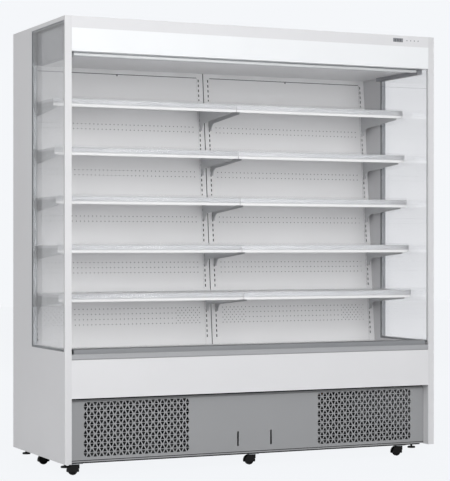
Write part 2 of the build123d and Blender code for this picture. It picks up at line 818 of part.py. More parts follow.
def make_ticket_rails():
    solids = [
        ticket_rail(x0, x1, z, y)
        for z, y in zip(shelf_tops, shelf_fronts) for x0, x1 in shelf_bays()
    ]
    save("ticket_rails", *solids)


# ================================================================ canopy
cassette_half = inner_half - cap_width
fascia_sheet = roof_rebate
fascia_back = front + fascia_sheet
cassette_front = front + cassette_front_set
cassette_back = cassette_front + cassette_depth
cassette_bottom = diffuser_bottom
cassette_top = cassette_bottom + cassette_height
roller_y = front + roller_back_set
roller_z = cassette_bottom + roller_drop
cloth_back = roller_y - roller_diameter / 2 - skin_gap
ceiling_front = front + ceiling_front_set


def make_canopy_fascia():
    """The folded fascia over the lit sign, with openings for the controller."""
    section = folded([
        (lap_back, case_height), (front, case_height), (front, fascia_bottom),
        (front + fascia_fold, fascia_bottom),
    ], fascia_sheet)
    fascia = along_x(section, -inner_half, inner_half)
    half_width, half_height = display_width / 2, display_height / 2
    fascia -= block(display_centre - half_width, display_centre + half_width, front, fascia_back,
                    control_height - half_height, control_height + half_height)
    for x in button_positions:
        fascia -= rod_y(x, control_height, button_diameter / 2 + button_gap, front, fascia_back)
    save("canopy_fascia", fascia)


def make_diffuser():
    """The opal front of the lit sign, a shallow channel."""
    back_y = front + canopy_depth
    section = folded([
        (back_y, fascia_bottom), (front, fascia_bottom), (front, diffuser_bottom), (back_y, diffuser_bottom),
    ], diffuser_thickness)
    save("light_diffuser", along_x(section, -inner_half, inner_half))


def make_lamp():
    """The lamp batten on the blind cassette, with its tube."""
    z1 = cassette_top
    z0 = z1 - lamp_batten_height
    half = cassette_half - lamp_end_set
    batten = block(-half, half, cassette_front - lamp_batten_depth, cassette_front, z0, z1)
    tube_z = (z0 + z1) / 2
    tube_y = cassette_front - lamp_batten_depth - lamp_tube_diameter / 2 + lamp_tube_seat
    tube_length = 2 * (cassette_half - lamp_tube_end_set)
    tube = Pos(0, tube_y, tube_z) * Rot(Y=90) * Cylinder(lamp_tube_diameter / 2, tube_length)
    save("canopy_lamp", batten + tube)


def make_end_caps():
    """The dark end caps that close the canopy inside each side window."""
    lower_y = front + cap_lower_front
    upper_y = front + canopy_depth
    section = outline([
        (upper_y, roof_seat), (upper_y, diffuser_bottom), (lower_y, diffuser_bottom), (lower_y, cap_bottom),
        (front + cap_back, cap_bottom), (front + cap_back, case_height), (lap_back, case_height),
        (lap_back, roof_seat),
    ])
    cap = along_x(section, cassette_half, inner_half)
    pin_hole = Cylinder(roller_pin_diameter / 2 + roller_pin_gap, 2 * (roller_pin_reach + roller_end_gap))
    cap -= Pos(cassette_half, roller_y, roller_z) * Rot(Y=90) * pin_hole
    save("canopy_end_caps", cap, mirrored(cap))


def make_ceiling():
    """The ceiling sheet, narrowed between the end caps, with its front fold."""
    rear_y = wall_y(ceiling_height)
    cap_y = front + cap_back
    plate = block(-cassette_half, cassette_half, ceiling_front, cap_y, ceiling_height, ceiling_height + sheet)
    plate += block(-inner_half, inner_half, cap_y, rear_y, ceiling_height, ceiling_height + sheet)
    plate += block(-cassette_half, cassette_half, ceiling_front, ceiling_front + sheet,
                   ceiling_height + sheet, ceiling_height + ceiling_fold)
    save("ceiling_panel", plate)


def make_honeycomb():
    """The air straightener between the cassette and the ceiling."""
    y0, y1 = cassette_back, ceiling_front
    half = cassette_half
    corners = [(-half, y0), (half, y0), (half, y1), (-half, y1)]
    row_pitch = honeycomb_pitch * sqrt(3) / 2
    columns = int(2 * (half - honeycomb_pitch) / honeycomb_pitch)
    wires = []
    for row in (-1, 0, 1):
        for n in range(columns - abs(row)):
            x = (n - (columns - abs(row) - 1) / 2) * honeycomb_pitch
            cell = RegularPolygon(honeycomb_cell / 2, 6, major_radius=False, rotation=30)
            cell = Pos(x, (y0 + y1) / 2 + row * row_pitch) * cell
            wires.append(cell.face().outer_wire())
    grid = Pos(0, 0, ceiling_height) * holed_plate(corners, wires, honeycomb_height)
    save("air_honeycomb", grid)


# ================================================================ night blind
def make_cassette():
    """The blind's housing: a folded box with a slot for the cloth."""
    s = cassette_sheet
    slot_back = cloth_back + cloth_slot / 2
    slot_front = slot_back - cloth_slot
    section = folded([
        (slot_back, cassette_bottom), (cassette_back, cassette_bottom), (cassette_back, cassette_top),
        (cassette_front, cassette_top), (cassette_front, cassette_bottom), (slot_front, cassette_bottom),
    ], s)
    save("blind_cassette", along_x(section, -cassette_half, cassette_half))


def make_roller():
    """The spring roller with the wound blind, carried by a pin in each end cap."""
    roll = Cylinder(roller_diameter / 2, 2 * (cassette_half - roller_end_gap))
    pin = Cylinder(roller_pin_diameter / 2, 2 * (cassette_half + roller_pin_reach))
    save("night_blind_roller", Pos(0, roller_y, roller_z) * Rot(Y=90) * (roll + pin))


def make_blind_bar():
    """The pull bar at the foot of the blind, with a rounded front and a grip groove below."""
    top = cassette_bottom - skin_gap
    low = top - bar_height
    y0 = front + bar_front_set
    y1 = y0 + bar_depth
    half = case_width / 2 - bar_end_set
    bar = block(-half, half, y0, y1, low, top)
    bar = fillet(bar.edges().filter_by(Axis.X).sort_by(Axis.Y)[:2], bar_round)
    groove_half, groove_y = half - bar_groove_end, (y0 + y1) / 2
    groove = block(-groove_half, groove_half, groove_y - bar_groove_width / 2,
                   groove_y + bar_groove_width / 2, low, low + bar_groove_depth)
    save("night_blind_bar", bar - groove)


def make_blind_cloth():
    """The stretch of cloth between the roller and the bar."""
    half = case_width / 2 - bar_end_set - cloth_end_set
    cloth = block(-half, half, cloth_back - cloth_thickness, cloth_back, cassette_bottom - skin_gap, roller_z)
    save("night_blind_cloth", cloth)


# ================================================================ controller
def make_controller():
    """The display behind the fascia, with a pocket behind each button, and the four buttons."""
    half_width, half_height = display_width / 2 - display_gap, display_height / 2 - display_gap
    x0, x1 = display_centre - half_width - controller_margin, button_positions[-1] + controller_margin
    z0, z1 = control_height - controller_height / 2, control_height + controller_height / 2
    body = block(x0, x1, fascia_back, fascia_back + controller_depth, z0, z1)
    body += block(display_centre - half_width, display_centre + half_width, front + display_set,
                  fascia_back, control_height - half_height, control_height + half_height)
    pocket_floor = front + button_depth + button_travel
    for x in button_positions:
        body -= rod_y(x, control_height, button_diameter / 2 + button_gap, front, pocket_floor)
    save("controller_display", body)
    for number, x in enumerate(button_positions, start=1):
        button = rod_y(x, control_height, button_diameter / 2, front, front + button_depth)
        save(f"control_button_{number}", button)


# ================================================================ machinery
def fan_rotor(x, z, y_hub, radius):
    """Fan rotor on a Y axis: bored hub and pitched blades."""
    root = motor_diameter / 2 - fan_blade_root
    rotor = rod_y(x, z, motor_diameter / 2, y_hub, y_hub + hub_length)
    blade = Box(fan_blade_chord * radius, fan_blade_thickness, radius - root)
    blade = Pos(0, 0, (radius + root) / 2) * Rot(Z=fan_blade_pitch) * blade
    for n in range(fan_blades):
        rotor += Pos(x, y_hub + hub_length / 2, z) * Rot(Y=360 * n / fan_blades) * blade
    trim = rod_y(x, z, radius, y_hub - radius, y_hub + radius)
    bore = rod_y(x, z, shaft_diameter / 2 + shaft_gap, y_hub, y_hub + hub_length)
    return (rotor & trim) - bore


def fan_motor(x, z, y_hub, reach, y_seat):
    """Fan motor behind its rotor: body, shaft, and a four-legged stand that reaches the fan plate."""
    y0 = y_hub + hub_length + motor_gap
    y1 = y0 + motor_length
    half = motor_arm_width / 2
    motor = rod_y(x, z, motor_diameter / 2, y0, y1)
    motor += rod_y(x, z, shaft_diameter / 2, y_hub, y0)
    arm = block(motor_diameter / 2 - motor_arm_thickness, reach, y1 - motor_arm_thickness, y1, -half, half)
    leg = block(reach - motor_leg_thickness, reach, y_seat, y1, -half, half)
    for n in range(4):
        motor += Pos(x, 0, z) * Rot(Y=90 * n + 45) * (arm + leg)
    return motor


evaporator_fan_z = (tank_floor_top + deck_top - thin_sheet) / 2
evaporator_hub_y = fan_panel_y - hub_length / 2 + fan_panel_sheet / 2
condenser_fan_z = machine_floor_top + condenser_height / 2
shroud_back = condenser_front_y + condenser_depth + shroud_depth
condenser_hub_y = shroud_back - hub_length


def make_evaporator_fans():
    """The fan panel across the tank, with two motors, and the two rotors."""
    z0, z1 = tank_floor_top, deck_top - thin_sheet
    panel = block(-coil_half, coil_half, fan_panel_y, fan_panel_y + fan_panel_sheet, z0, z1)
    motors = []
    for number, x in enumerate((-evaporator_fan_x, evaporator_fan_x), start=1):
        opening = evaporator_fan_radius + fan_tip_gap
        panel -= rod_y(x, evaporator_fan_z, opening, fan_panel_y, fan_panel_y + fan_panel_sheet)
        reach = opening + motor_leg_seat
        seat = fan_panel_y + fan_panel_sheet
        motors.append(fan_motor(x, evaporator_fan_z, evaporator_hub_y, reach, seat))
        rotor = fan_rotor(x, evaporator_fan_z, evaporator_hub_y, evaporator_fan_radius)
        save(f"evaporator_fan_{number}", rotor)
    save("evaporator_fan_panel", panel, *motors)


def finned_coil(x0, x1, y0, y1, z0, z1, fins):
    """A heat exchanger: tube rows through spaced fins, between two end plates."""
    coil = block(x0, x0 + coil_plate, y0, y1, z0, z1) + block(x1 - coil_plate, x1, y0, y1, z0, z1)
    pitch = (x1 - x0 - coil_plate) / (fins + 1)
    half = pitch * coil_fin_share / 2
    low, high = z0 + coil_fin_set, z1 - coil_fin_set
    for n in range(1, fins + 1):
        x = x0 + coil_plate / 2 + n * pitch
        coil += block(x - half, x + half, y0 + coil_fin_set, y1 - coil_fin_set, low, high)
    middle, half = (y0 + y1) / 2, coil_tube / 2
    for n in range(coil_rows):
        z = z0 + (z1 - z0) * (n + 0.5) / coil_rows
        coil += block(x0, x1, middle - half, middle + half, z - half, z + half)
    return coil


def make_evaporator():
    """The evaporator, standing on the tank floor."""
    y1, z1 = coil_front_y + coil_depth, tank_floor_top + coil_height
    coil = finned_coil(-coil_half, coil_half, coil_front_y, y1, tank_floor_top, z1, coil_fins)
    save("evaporator_coil", coil)


def make_condenser():
    """The condenser behind the left grille, with its fan shroud, motor and rotor."""
    half = condenser_width / 2
    x0, x1 = condenser_centre_x - half, condenser_centre_x + half
    y0, y1 = condenser_front_y, condenser_front_y + condenser_depth
    z0, z1 = machine_floor_top, machine_floor_top + condenser_height
    save("condenser_coil", finned_coil(x0, x1, y0, y1, z0, z1, condenser_fins))
    shroud = block(x0, x1, y1, shroud_back, z0, z1)
    s = coil_plate
    shroud -= block(x0 + s, x1 - s, y1, shroud_back - s, z0 + s, z1 - s)
    shroud -= rod_y(condenser_centre_x, condenser_fan_z, condenser_fan_radius + fan_tip_gap, y1, shroud_back)
    reach = condenser_fan_radius + fan_tip_gap + motor_leg_seat
    motor = fan_motor(condenser_centre_x, condenser_fan_z, condenser_hub_y, reach, shroud_back)
    save("condenser_fan_shroud", shroud, motor)
    rotor = fan_rotor(condenser_centre_x, condenser_fan_z, condenser_hub_y, condenser_fan_radius)
    save("condenser_fan", rotor)


def make_compressor():
    """A hermetic compressor: domed shell with a welded belt, on a footed base plate."""
    radius, margin = compressor_diameter / 2, compressor_plate_margin
    foot, low = compressor_foot_height, compressor_foot_height + compressor_plate
    half_x, half_y = radius + margin, radius - margin
    plate = block(-half_x, half_x, -half_y, half_y, foot, low)
    plate = fillet(plate.edges().filter_by(Axis.Z), margin)
    middle = (low + compressor_height) / 2
    shell = Pos(0, 0, middle) * Cylinder(radius, compressor_height - low)
    shell = fillet(shell.edges().filter_by(GeomType.CIRCLE), compressor_dome)
    belt = Pos(0, 0, middle) * Cylinder(radius + compressor_belt_rise, compressor_belt_width)
    inset = margin + compressor_foot_radius / 2
    feet = [
        Pos(sx * (half_x - inset), sy * (half_y - inset), foot / 2) * Cylinder(compressor_foot_radius, foot)
        for sx in (-1, 1) for sy in (-1, 1)
    ]
    half_box = terminal_box_width / 2
    box = block(-half_box, half_box, -radius - terminal_box_depth, -radius + margin,
                middle - terminal_box_height / 2, middle + terminal_box_height / 2)
    unit = plate + shell + belt + feet + box
    save("compressor", Pos(compressor_x, compressor_y, machine_floor_top) * unit)


def pipe(*points):
    """A round pipe along straight runs with round bends."""
    path = FilletPolyline(*points, radius=pipe_bend)
    start = Vector(*points[0])
    section = Plane(origin=start, z_dir=Vector(*points[1]) - start) * Circle(pipe_diameter / 2)
    return sweep(section, path=path)


def make_pipes():
    """Discharge, liquid and suction lines of the cooling circuit, up to the tank's underside."""
    top = machine_floor_top + compressor_height
    run = top + pipe_rise
    x, y = compressor_x, compressor_y
    left, right, rear = x - pipe_offset, x + pipe_offset, y + pipe_run_back
    coil_x = condenser_centre_x + condenser_width / 2
    coil_y = condenser_front_y + condenser_depth / 2
    riser_x = coil_x + liquid_offset
    discharge = pipe((left, y, top), (left, y, run), (left, coil_y, run), (riser_x, coil_y, run),
                     (riser_x, coil_y, condenser_fan_z), (coil_x, coil_y, condenser_fan_z))
    suction = pipe((right, y, top), (right, y, run), (right, rear, run), (right, rear, body_bottom))
    liquid = pipe((coil_x, coil_y, liquid_height), (riser_x, coil_y, liquid_height),
                  (riser_x, rear, liquid_height), (riser_x, rear, body_bottom))
    save("refrigerant_pipes", discharge, suction, liquid)


def make_drip_tray():
    """The open tray that collects the defrost water."""
    y0, z0, wall = tray_front_y, machine_floor_top, tray_wall
    x0, x1 = tray_x - tray_width / 2, tray_x + tray_width / 2
    tray = block(x0, x1, y0, y0 + tray_depth, z0, z0 + tray_height)
    tray = fillet(tray.edges().filter_by(Axis.Z), tray_corner)
    inside = block(x0 + wall, x1 - wall, y0 + wall, y0 + tray_depth - wall, z0 + wall, z0 + tray_height)
    save("drip_tray", tray - fillet(inside.edges().filter_by(Axis.Z), tray_corner - wall))


# ================================================================ build
make_base_frame()
make_machine_floor()
make_levelling_feet()
make_caster_plates()
make_casters()
make_side_walls()
make_insulated_body()
make_front_panel()
make_bumper()
make_return_grille()
make_kick_panel()
make_rear_cover()
make_deck()
make_back_panels()
make_uprights()
make_brackets()
make_shelves()
make_ticket_rails()
make_canopy_fascia()
make_diffuser()
make_lamp()
make_end_caps()
make_ceiling()
make_honeycomb()
make_cassette()
make_roller()
make_blind_bar()
make_blind_cloth()
make_controller()
make_evaporator_fans()
make_evaporator()
make_condenser()
make_compressor()
make_pipes()
make_drip_tray()
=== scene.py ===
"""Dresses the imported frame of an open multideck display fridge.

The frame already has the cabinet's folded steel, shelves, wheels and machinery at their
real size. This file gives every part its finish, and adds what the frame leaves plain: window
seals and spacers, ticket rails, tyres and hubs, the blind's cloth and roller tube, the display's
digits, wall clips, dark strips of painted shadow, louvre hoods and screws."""

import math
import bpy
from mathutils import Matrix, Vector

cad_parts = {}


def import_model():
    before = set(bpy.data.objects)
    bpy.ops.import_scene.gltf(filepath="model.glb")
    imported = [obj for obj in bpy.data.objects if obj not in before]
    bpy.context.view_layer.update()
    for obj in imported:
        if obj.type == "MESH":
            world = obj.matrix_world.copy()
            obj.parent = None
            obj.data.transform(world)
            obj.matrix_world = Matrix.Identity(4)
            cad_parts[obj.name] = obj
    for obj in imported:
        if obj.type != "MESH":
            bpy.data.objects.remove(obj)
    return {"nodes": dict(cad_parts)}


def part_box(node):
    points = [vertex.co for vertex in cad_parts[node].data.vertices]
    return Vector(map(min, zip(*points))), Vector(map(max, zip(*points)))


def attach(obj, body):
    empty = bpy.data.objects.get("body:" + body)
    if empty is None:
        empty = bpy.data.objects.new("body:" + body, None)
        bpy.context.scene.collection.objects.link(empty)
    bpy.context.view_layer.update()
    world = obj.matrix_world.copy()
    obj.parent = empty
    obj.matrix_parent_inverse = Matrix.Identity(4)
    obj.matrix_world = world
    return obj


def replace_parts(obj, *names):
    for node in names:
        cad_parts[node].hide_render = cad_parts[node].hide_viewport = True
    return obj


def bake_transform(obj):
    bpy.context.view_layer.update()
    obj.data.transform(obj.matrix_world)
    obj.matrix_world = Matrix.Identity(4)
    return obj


bl_info = {
    "name": "Open multideck display fridge",
    "version": (1, 0, 0),
    "blender": (4, 5, 0),
    "location": "3D View > Sidebar > Display fridge",
    "description": "Finishes and fine parts for the packed frame of a display fridge",
    "category": "Object",
}

import bmesh
import bpy
from mathutils import Vector

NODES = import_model()["nodes"]
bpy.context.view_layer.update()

MM = 0.001
CASTERS = range(1, 7)
SHELVES = range(1, 6)
BUTTONS = range(1, 5)
WAVE_REPEAT = 0.314  # metres from band to band in a wave texture of scale 1


def linear(code):
    """The linear colour of an sRGB hex code."""
    parts = [int(code[n:n + 2], 16) / 255 for n in (1, 3, 5)]
    return [p / 12.92 if p <= 0.04045 else ((p + 0.055) / 1.055) ** 2.4 for p in parts]


def solid(code):
    """The linear colour of an sRGB hex code, with its alpha."""
    return [*linear(code), 1.0]


# ---------------------------------------------------------------- what a user would change


class FridgeColours(bpy.types.PropertyGroup):
    """Colours of the finishes."""

    white_coat: bpy.props.FloatVectorProperty(
        name="Front coat", description="Powder coat on the front panel and the canopy",
        subtype="COLOR", min=0, max=1, default=linear("#DDDDDF"))
    # painted light: the same white powder coat as the front, set lighter to lift the shade inside
    # the case
    inner_coat_lightened: bpy.props.FloatVectorProperty(
        name="Inner coat", description="Powder coat on the back wall, deck and shelves",
        subtype="COLOR", min=0, max=1, default=linear("#F1F1F2"))
    wall_coat: bpy.props.FloatVectorProperty(
        name="Side wall coat", description="Coat on the two side walls",
        subtype="COLOR", min=0, max=1, default=linear("#D7D7D9"))
    kick_coat: bpy.props.FloatVectorProperty(
        name="Kick panel coat", description="Grey coat on the kick panel",
        subtype="COLOR", min=0, max=1, default=linear("#97989A"))
    bumper_plastic: bpy.props.FloatVectorProperty(
        name="Bumper", description="Grey plastic of the bumper rail",
        subtype="COLOR", min=0, max=1, default=linear("#A5A6A9"))
    grille_coat: bpy.props.FloatVectorProperty(
        name="Return grille coat", description="Dark grey coat on the return air grille",
        subtype="COLOR", min=0, max=1, default=linear("#87898C"))
    cap_plastic: bpy.props.FloatVectorProperty(
        name="Canopy end caps", description="Grey plastic of the canopy's end caps",
        subtype="COLOR", min=0, max=1, default=linear("#939498"))
    cloth_thread: bpy.props.FloatVectorProperty(
        name="Blind cloth", description="Thread of the night blind",
        subtype="COLOR", min=0, max=1, default=linear("#C9CBCE"))
    sign_light: bpy.props.FloatProperty(
        name="Sign light", description="Brightness of the lit front of the canopy",
        min=0, max=3, default=0.05)


class FridgeSizes(bpy.types.PropertyGroup):
    """Sizes of the fine parts."""

    gasket_width: bpy.props.FloatProperty(
        name="Gasket width", description="Width of the bead that seals each pane",
        unit="LENGTH", min=0.001, max=0.02, default=0.004)
    spacer_width: bpy.props.FloatProperty(
        name="Spacer width", description="Width of the bar between the two panes of a window",
        unit="LENGTH", min=0.002, max=0.03, default=0.009)
    clear_strip_rise: bpy.props.FloatProperty(
        name="Clear strip", description="Height of the clear strip above the shelf's top",
        unit="LENGTH", min=0.001, max=0.03, default=0.013)
    screw_head: bpy.props.FloatProperty(
        name="Screw head", description="Diameter of the sheet metal screws' heads",
        unit="LENGTH", min=0.002, max=0.02, default=0.008)
    wheel_shoulder: bpy.props.FloatProperty(
        name="Tyre shoulder", description="Rounding of the casters' tyres",
        unit="LENGTH", min=0.0005, max=0.006, default=0.0035)
    edge_round: bpy.props.FloatProperty(
        name="Sheet edge", description="Radius that the coat leaves on folded edges",
        unit="LENGTH", min=0.0001, max=0.005, default=0.0008)


# ---------------------------------------------------------------- shader nodes


def add_node(tree, kind, links=None, **settings):
    """Adds a shader node with its settings, and links or fills its inputs."""
    made = tree.nodes.new(kind)
    for name, value in settings.items():
        setattr(made, name, value)
    for socket, value in (links or {}).items():
        if isinstance(value, bpy.types.NodeSocket):
            tree.links.new(value, made.inputs[socket])
        else:
            made.inputs[socket].default_value = value
    return made


def new_finish(name):
    """A material with a Principled shader, and Object coordinates, which are in metres."""
    material = bpy.data.materials.new(name)
    material.use_nodes = True
    tree = material.node_tree
    tree.nodes.clear()
    place = add_node(tree, "ShaderNodeTexCoord").outputs["Object"]
    shader = add_node(tree, "ShaderNodeBsdfPrincipled")
    add_node(tree, "ShaderNodeOutputMaterial", {"Surface": shader.outputs["BSDF"]})
    return material, tree, shader, place


def set_surface(shader, **values):
    """Sets numbers that are the same all over a surface on the shader's own sockets."""
    for name, value in values.items():
        shader.inputs[name.replace("_", " ")].default_value = value


def shaded(colour, share):
    """A colour times a share, with its alpha."""
    return [min(1.0, part * share) for part in colour[:3]] + [1.0]


def tinted(tree, shader, factor, low, high):
    """Colours the surface between two colours, as a pattern says."""
    mixed = add_node(tree, "ShaderNodeMix", {0: factor, 6: low, 7: high}, data_type="RGBA")
    tree.links.new(mixed.outputs[2], shader.inputs["Base Color"])


def mottle(tree, place, size, detail=2.0):
    """A soft pattern of lumps that are about a size in metres."""
    return add_node(tree, "ShaderNodeTexNoise",
                    {"Vector": place, "Scale": 1 / size, "Detail": detail}).outputs[0]


def textured(tree, shader, height, depth, strength=0.5):
    """Raises the surface by a pattern, to a depth in metres."""
    bump = add_node(tree, "ShaderNodeBump",
                    {"Height": height, "Distance": depth, "Strength": strength})
    tree.links.new(bump.outputs["Normal"], shader.inputs["Normal"])


def roughened(tree, shader, factor, low, high):
    """Lets the roughness wander between two values, as handling and dust leave it."""
    spread = add_node(tree, "ShaderNodeMapRange", {0: factor, 3: low, 4: high})
    tree.links.new(spread.outputs[0], shader.inputs["Roughness"])


# ---------------------------------------------------------------- finishes


def powder_coat(name, colour, roughness=0.42):
    """Polyester powder baked on folded steel: an even satin whose fine orange peel, about
    2.5 mm from lump to lump, softens the edges of highlights."""
    material, tree, shader, place = new_finish(name)
    set_surface(shader, IOR=1.5)
    tinted(tree, shader, mottle(tree, place, 0.4), shaded(colour, 0.97), shaded(colour, 1.02))
    roughened(tree, shader, mottle(tree, place, 0.07, 4.0), roughness - 0.05, roughness + 0.06)
    textured(tree, shader, mottle(tree, place, 0.0025, 1.0), 0.00004)
    return material


def moulded_plastic(name, colour, roughness=0.45, grain=0.0009, gloss=0.5):
    """ABS, PVC or nylon from a spark-eroded mould: a matt grain under a weak sheen, drawn
    0.9 mm across, coarser than the real one, so that it shows."""
    material, tree, shader, place = new_finish(name)
    set_surface(shader, IOR=1.46, Specular_IOR_Level=gloss)
    tinted(tree, shader, mottle(tree, place, 0.12), shaded(colour, 0.96), shaded(colour, 1.03))
    roughened(tree, shader, mottle(tree, place, 0.03, 3.0), roughness - 0.04, roughness + 0.06)
    textured(tree, shader, mottle(tree, place, grain, 3.0), 0.00003)
    return material


def galvanised_steel(name, colour, spangle=0.011):
    """Hot-dip galvanised sheet: zinc crystals about 11 mm across, each a shade of its own."""
    material, tree, shader, place = new_finish(name)
    set_surface(shader, Metallic=0.85)
    cells = add_node(tree, "ShaderNodeTexVoronoi", {"Vector": place, "Scale": 1 / spangle})
    tone = add_node(tree, "ShaderNodeSeparateColor", {0: cells.outputs["Color"]}).outputs[0]
    tinted(tree, shader, tone, shaded(colour, 0.86), shaded(colour, 1.08))
    roughened(tree, shader, tone, 0.34, 0.52)
    textured(tree, shader, mottle(tree, place, 0.004), 0.00003)
    return material


def brushed_aluminium(name, colour, roughness=0.34):
    """Anodised aluminium extrusion: die lines that run along the profile, which is X, drawn
    1.5 mm apart, coarser than the real ones, so that they show."""
    material, tree, shader, place = new_finish(name)
    set_surface(shader, Metallic=1.0)
    drawn = add_node(tree, "ShaderNodeMapping", {"Vector": place, "Scale": (0.02, 1, 1)})
    lines = mottle(tree, drawn.outputs[0], 0.0015, 3.0)
    tinted(tree, shader, lines, shaded(colour, 0.93), shaded(colour, 1.05))
    roughened(tree, shader, lines, roughness - 0.06, roughness + 0.08)
    textured(tree, shader, lines, 0.00002, 0.3)
    return material


def zinc_fittings(name, colour, roughness=0.38):
    """Pressed steel with a bright zinc plate, clouded in patches about 12 mm across, as on
    caster plates and screws."""
    material, tree, shader, place = new_finish(name)
    set_surface(shader, Metallic=0.9)
    cloud = mottle(tree, place, 0.012, 3.0)
    tinted(tree, shader, cloud, shaded(colour, 0.85), shaded(colour, 1.08))
    roughened(tree, shader, cloud, roughness - 0.08, roughness + 0.1)
    textured(tree, shader, mottle(tree, place, 0.0012), 0.00003)
    return material


def coil_fins(name, colour, pitch=0.005652):
    """Rolled aluminium fins on copper tube: bands 5.7 mm apart along X, coarser than real fins so
    that they show, with painted highlight on the fins' edges and painted shade between them."""
    material, tree, shader, place = new_finish(name)
    set_surface(shader, Metallic=0.9)
    bands = add_node(tree, "ShaderNodeTexWave", {"Vector": place, "Scale": WAVE_REPEAT / pitch},
                     wave_type="BANDS", bands_direction="X").outputs["Fac"]
    tinted(tree, shader, bands, shaded(colour, 0.45), shaded(colour, 1.05))
    roughened(tree, shader, bands, 0.55, 0.35)
    textured(tree, shader, bands, 0.0006, 0.8)
    return material


def copper_tube(name):
    """Drawn copper refrigerant tube: dusty warm metal, browned unevenly by brazing."""
    material, tree, shader, place = new_finish(name)
    set_surface(shader, Metallic=1.0)
    cloud = mottle(tree, place, 0.05, 4.0)
    tinted(tree, shader, cloud, solid("#4E382C"), solid("#7A543F"))
    roughened(tree, shader, cloud, 0.42, 0.26)
    textured(tree, shader, mottle(tree, place, 0.002), 0.00002)
    return material


def baked_enamel(name, colour, roughness=0.32, gloss=0.5):
    """Black enamel baked on steel after dipping: a sheen that slight runs make uneven."""
    material, tree, shader, place = new_finish(name)
    set_surface(shader, IOR=1.5, Specular_IOR_Level=gloss)
    tinted(tree, shader, mottle(tree, place, 0.06), shaded(colour, 0.85), shaded(colour, 1.2))
    roughened(tree, shader, mottle(tree, place, 0.03, 3.0), roughness - 0.08, roughness + 0.1)
    textured(tree, shader, mottle(tree, place, 0.006), 0.0001, 0.4)
    return material


def tyre_rubber(name):
    """Black moulded rubber: matt, dusty grey where it has rolled, with a grain that is drawn
    0.8 mm across, coarser than the real one."""
    material, tree, shader, place = new_finish(name)
    set_surface(shader, IOR=1.52, Specular_IOR_Level=0.2)
    dust = mottle(tree, place, 0.009, 4.0)
    tinted(tree, shader, dust, solid("#0A0A0B"), solid("#19191A"))
    roughened(tree, shader, dust, 0.55, 0.78)
    textured(tree, shader, mottle(tree, place, 0.0008, 3.0), 0.00005)
    return material


def float_glass(name):
    """Clear float glass with a thin coat that mirrors little: each pane greys what is behind it."""
    material, tree, shader, place = new_finish(name)
    set_surface(shader, IOR=1.5, Roughness=0.0, Transmission_Weight=1.0, Specular_IOR_Level=0.1)
    tinted(tree, shader, mottle(tree, place, 0.6), solid("#F6F6F7"), solid("#FAFAFA"))
    return material


def clear_plastic(name):
    """Clear extruded PVC strip, about 1 mm thick: it hardly bends or mirrors what is behind."""
    material, tree, shader, place = new_finish(name)
    set_surface(shader, IOR=1.1, Transmission_Weight=1.0, Specular_IOR_Level=0.2)
    cloud = mottle(tree, place, 0.3)
    tinted(tree, shader, cloud, solid("#F6F6F7"), solid("#FAFAFA"))
    roughened(tree, shader, cloud, 0.0, 0.03)
    return material


def opal_acrylic(name, strength):
    """Opal acrylic lit from behind: white all over, a touch dimmer from the tube's height down
    to the foot."""
    material, tree, shader, place = new_finish(name)
    set_surface(shader, IOR=1.49, Roughness=0.35)
    tinted(tree, shader, mottle(tree, place, 0.3), solid("#E4E6E8"), solid("#EAECEE"))
    foot, tube = 1.8945, 1.946  # heights in metres
    height = add_node(tree, "ShaderNodeSeparateXYZ", {0: place}).outputs["Z"]
    glow = add_node(tree, "ShaderNodeMapRange", {0: height, 1: foot, 2: tube, 3: 0.93, 4: 1.0})
    light = add_node(tree, "ShaderNodeMix",
                     {0: glow.outputs[0], 6: solid("#000000"), 7: solid("#F6F8FA")},
                     data_type="RGBA")
    tree.links.new(light.outputs[2], shader.inputs["Emission Color"])
    set_surface(shader, Emission_Strength=strength)
    return material


def lamp_glass(name):
    """Frosted cover of a lamp tube: a weak glow, since the opal front hides the tube."""
    material, tree, shader, place = new_finish(name)
    set_surface(shader, IOR=1.5, Roughness=0.4, Emission_Strength=0.1,
                Emission_Color=solid("#F7F9FA"))
    tinted(tree, shader, mottle(tree, place, 0.2), solid("#E9EAEC"), solid("#F1F2F3"))
    return material


def blind_weave(name, colour, pitch=0.0018):
    """Woven polyester blind: fine ribs 1.8 mm apart that run down the cloth, so that they stay
    fine when the hanging part is drawn out."""
    material, tree, shader, _ = new_finish(name)
    weave = add_node(tree, "ShaderNodeUVMap", uv_map="cloth").outputs["UV"]
    set_surface(shader, IOR=1.46, Sheen_Weight=0.2)
    ribs = add_node(tree, "ShaderNodeTexWave", {"Vector": weave, "Scale": WAVE_REPEAT / pitch},
                    wave_type="BANDS", bands_direction="X").outputs["Fac"]
    tinted(tree, shader, ribs, shaded(colour, 0.82), shaded(colour, 1.05))
    roughened(tree, shader, ribs, 0.82, 0.68)
    textured(tree, shader, ribs, 0.0002)
    return material


# ---------------------------------------------------------------- modelling


def start_clean():
    """Leaves edit mode and picks nothing."""
    if bpy.context.mode != "OBJECT":
        bpy.ops.object.mode_set(mode="OBJECT")
    bpy.ops.object.select_all(action="DESELECT")


def pick_faces(test):
    """In edit mode, picks the faces that a test of centre and normal is true of, with the
    centre in millimetres."""
    bpy.ops.mesh.select_all(action="DESELECT")
    bpy.ops.mesh.select_mode(type="FACE")
    mesh = bmesh.from_edit_mesh(bpy.context.active_object.data)
    for face in mesh.faces:
        face.select_set(bool(test(face.calc_center_median() / MM, face.normal)))
    mesh.select_flush_mode()
    bmesh.update_edit_mesh(bpy.context.active_object.data)


def extrude(x, y, z):
    """Extrudes what is picked by a distance in millimetres."""
    bpy.ops.mesh.extrude_region_move(
        TRANSFORM_OT_translate={"value": (x * MM, y * MM, z * MM)})


def block(low, high):
    """A cube primitive stretched between two corners in millimetres, open for editing."""
    start_clean()
    low, high = Vector(low) * MM, Vector(high) * MM
    bpy.ops.mesh.primitive_cube_add(size=1, location=(low + high) / 2, scale=high - low)
    bpy.ops.object.transform_apply(location=True, rotation=True, scale=True)
    bpy.ops.object.mode_set(mode="EDIT")


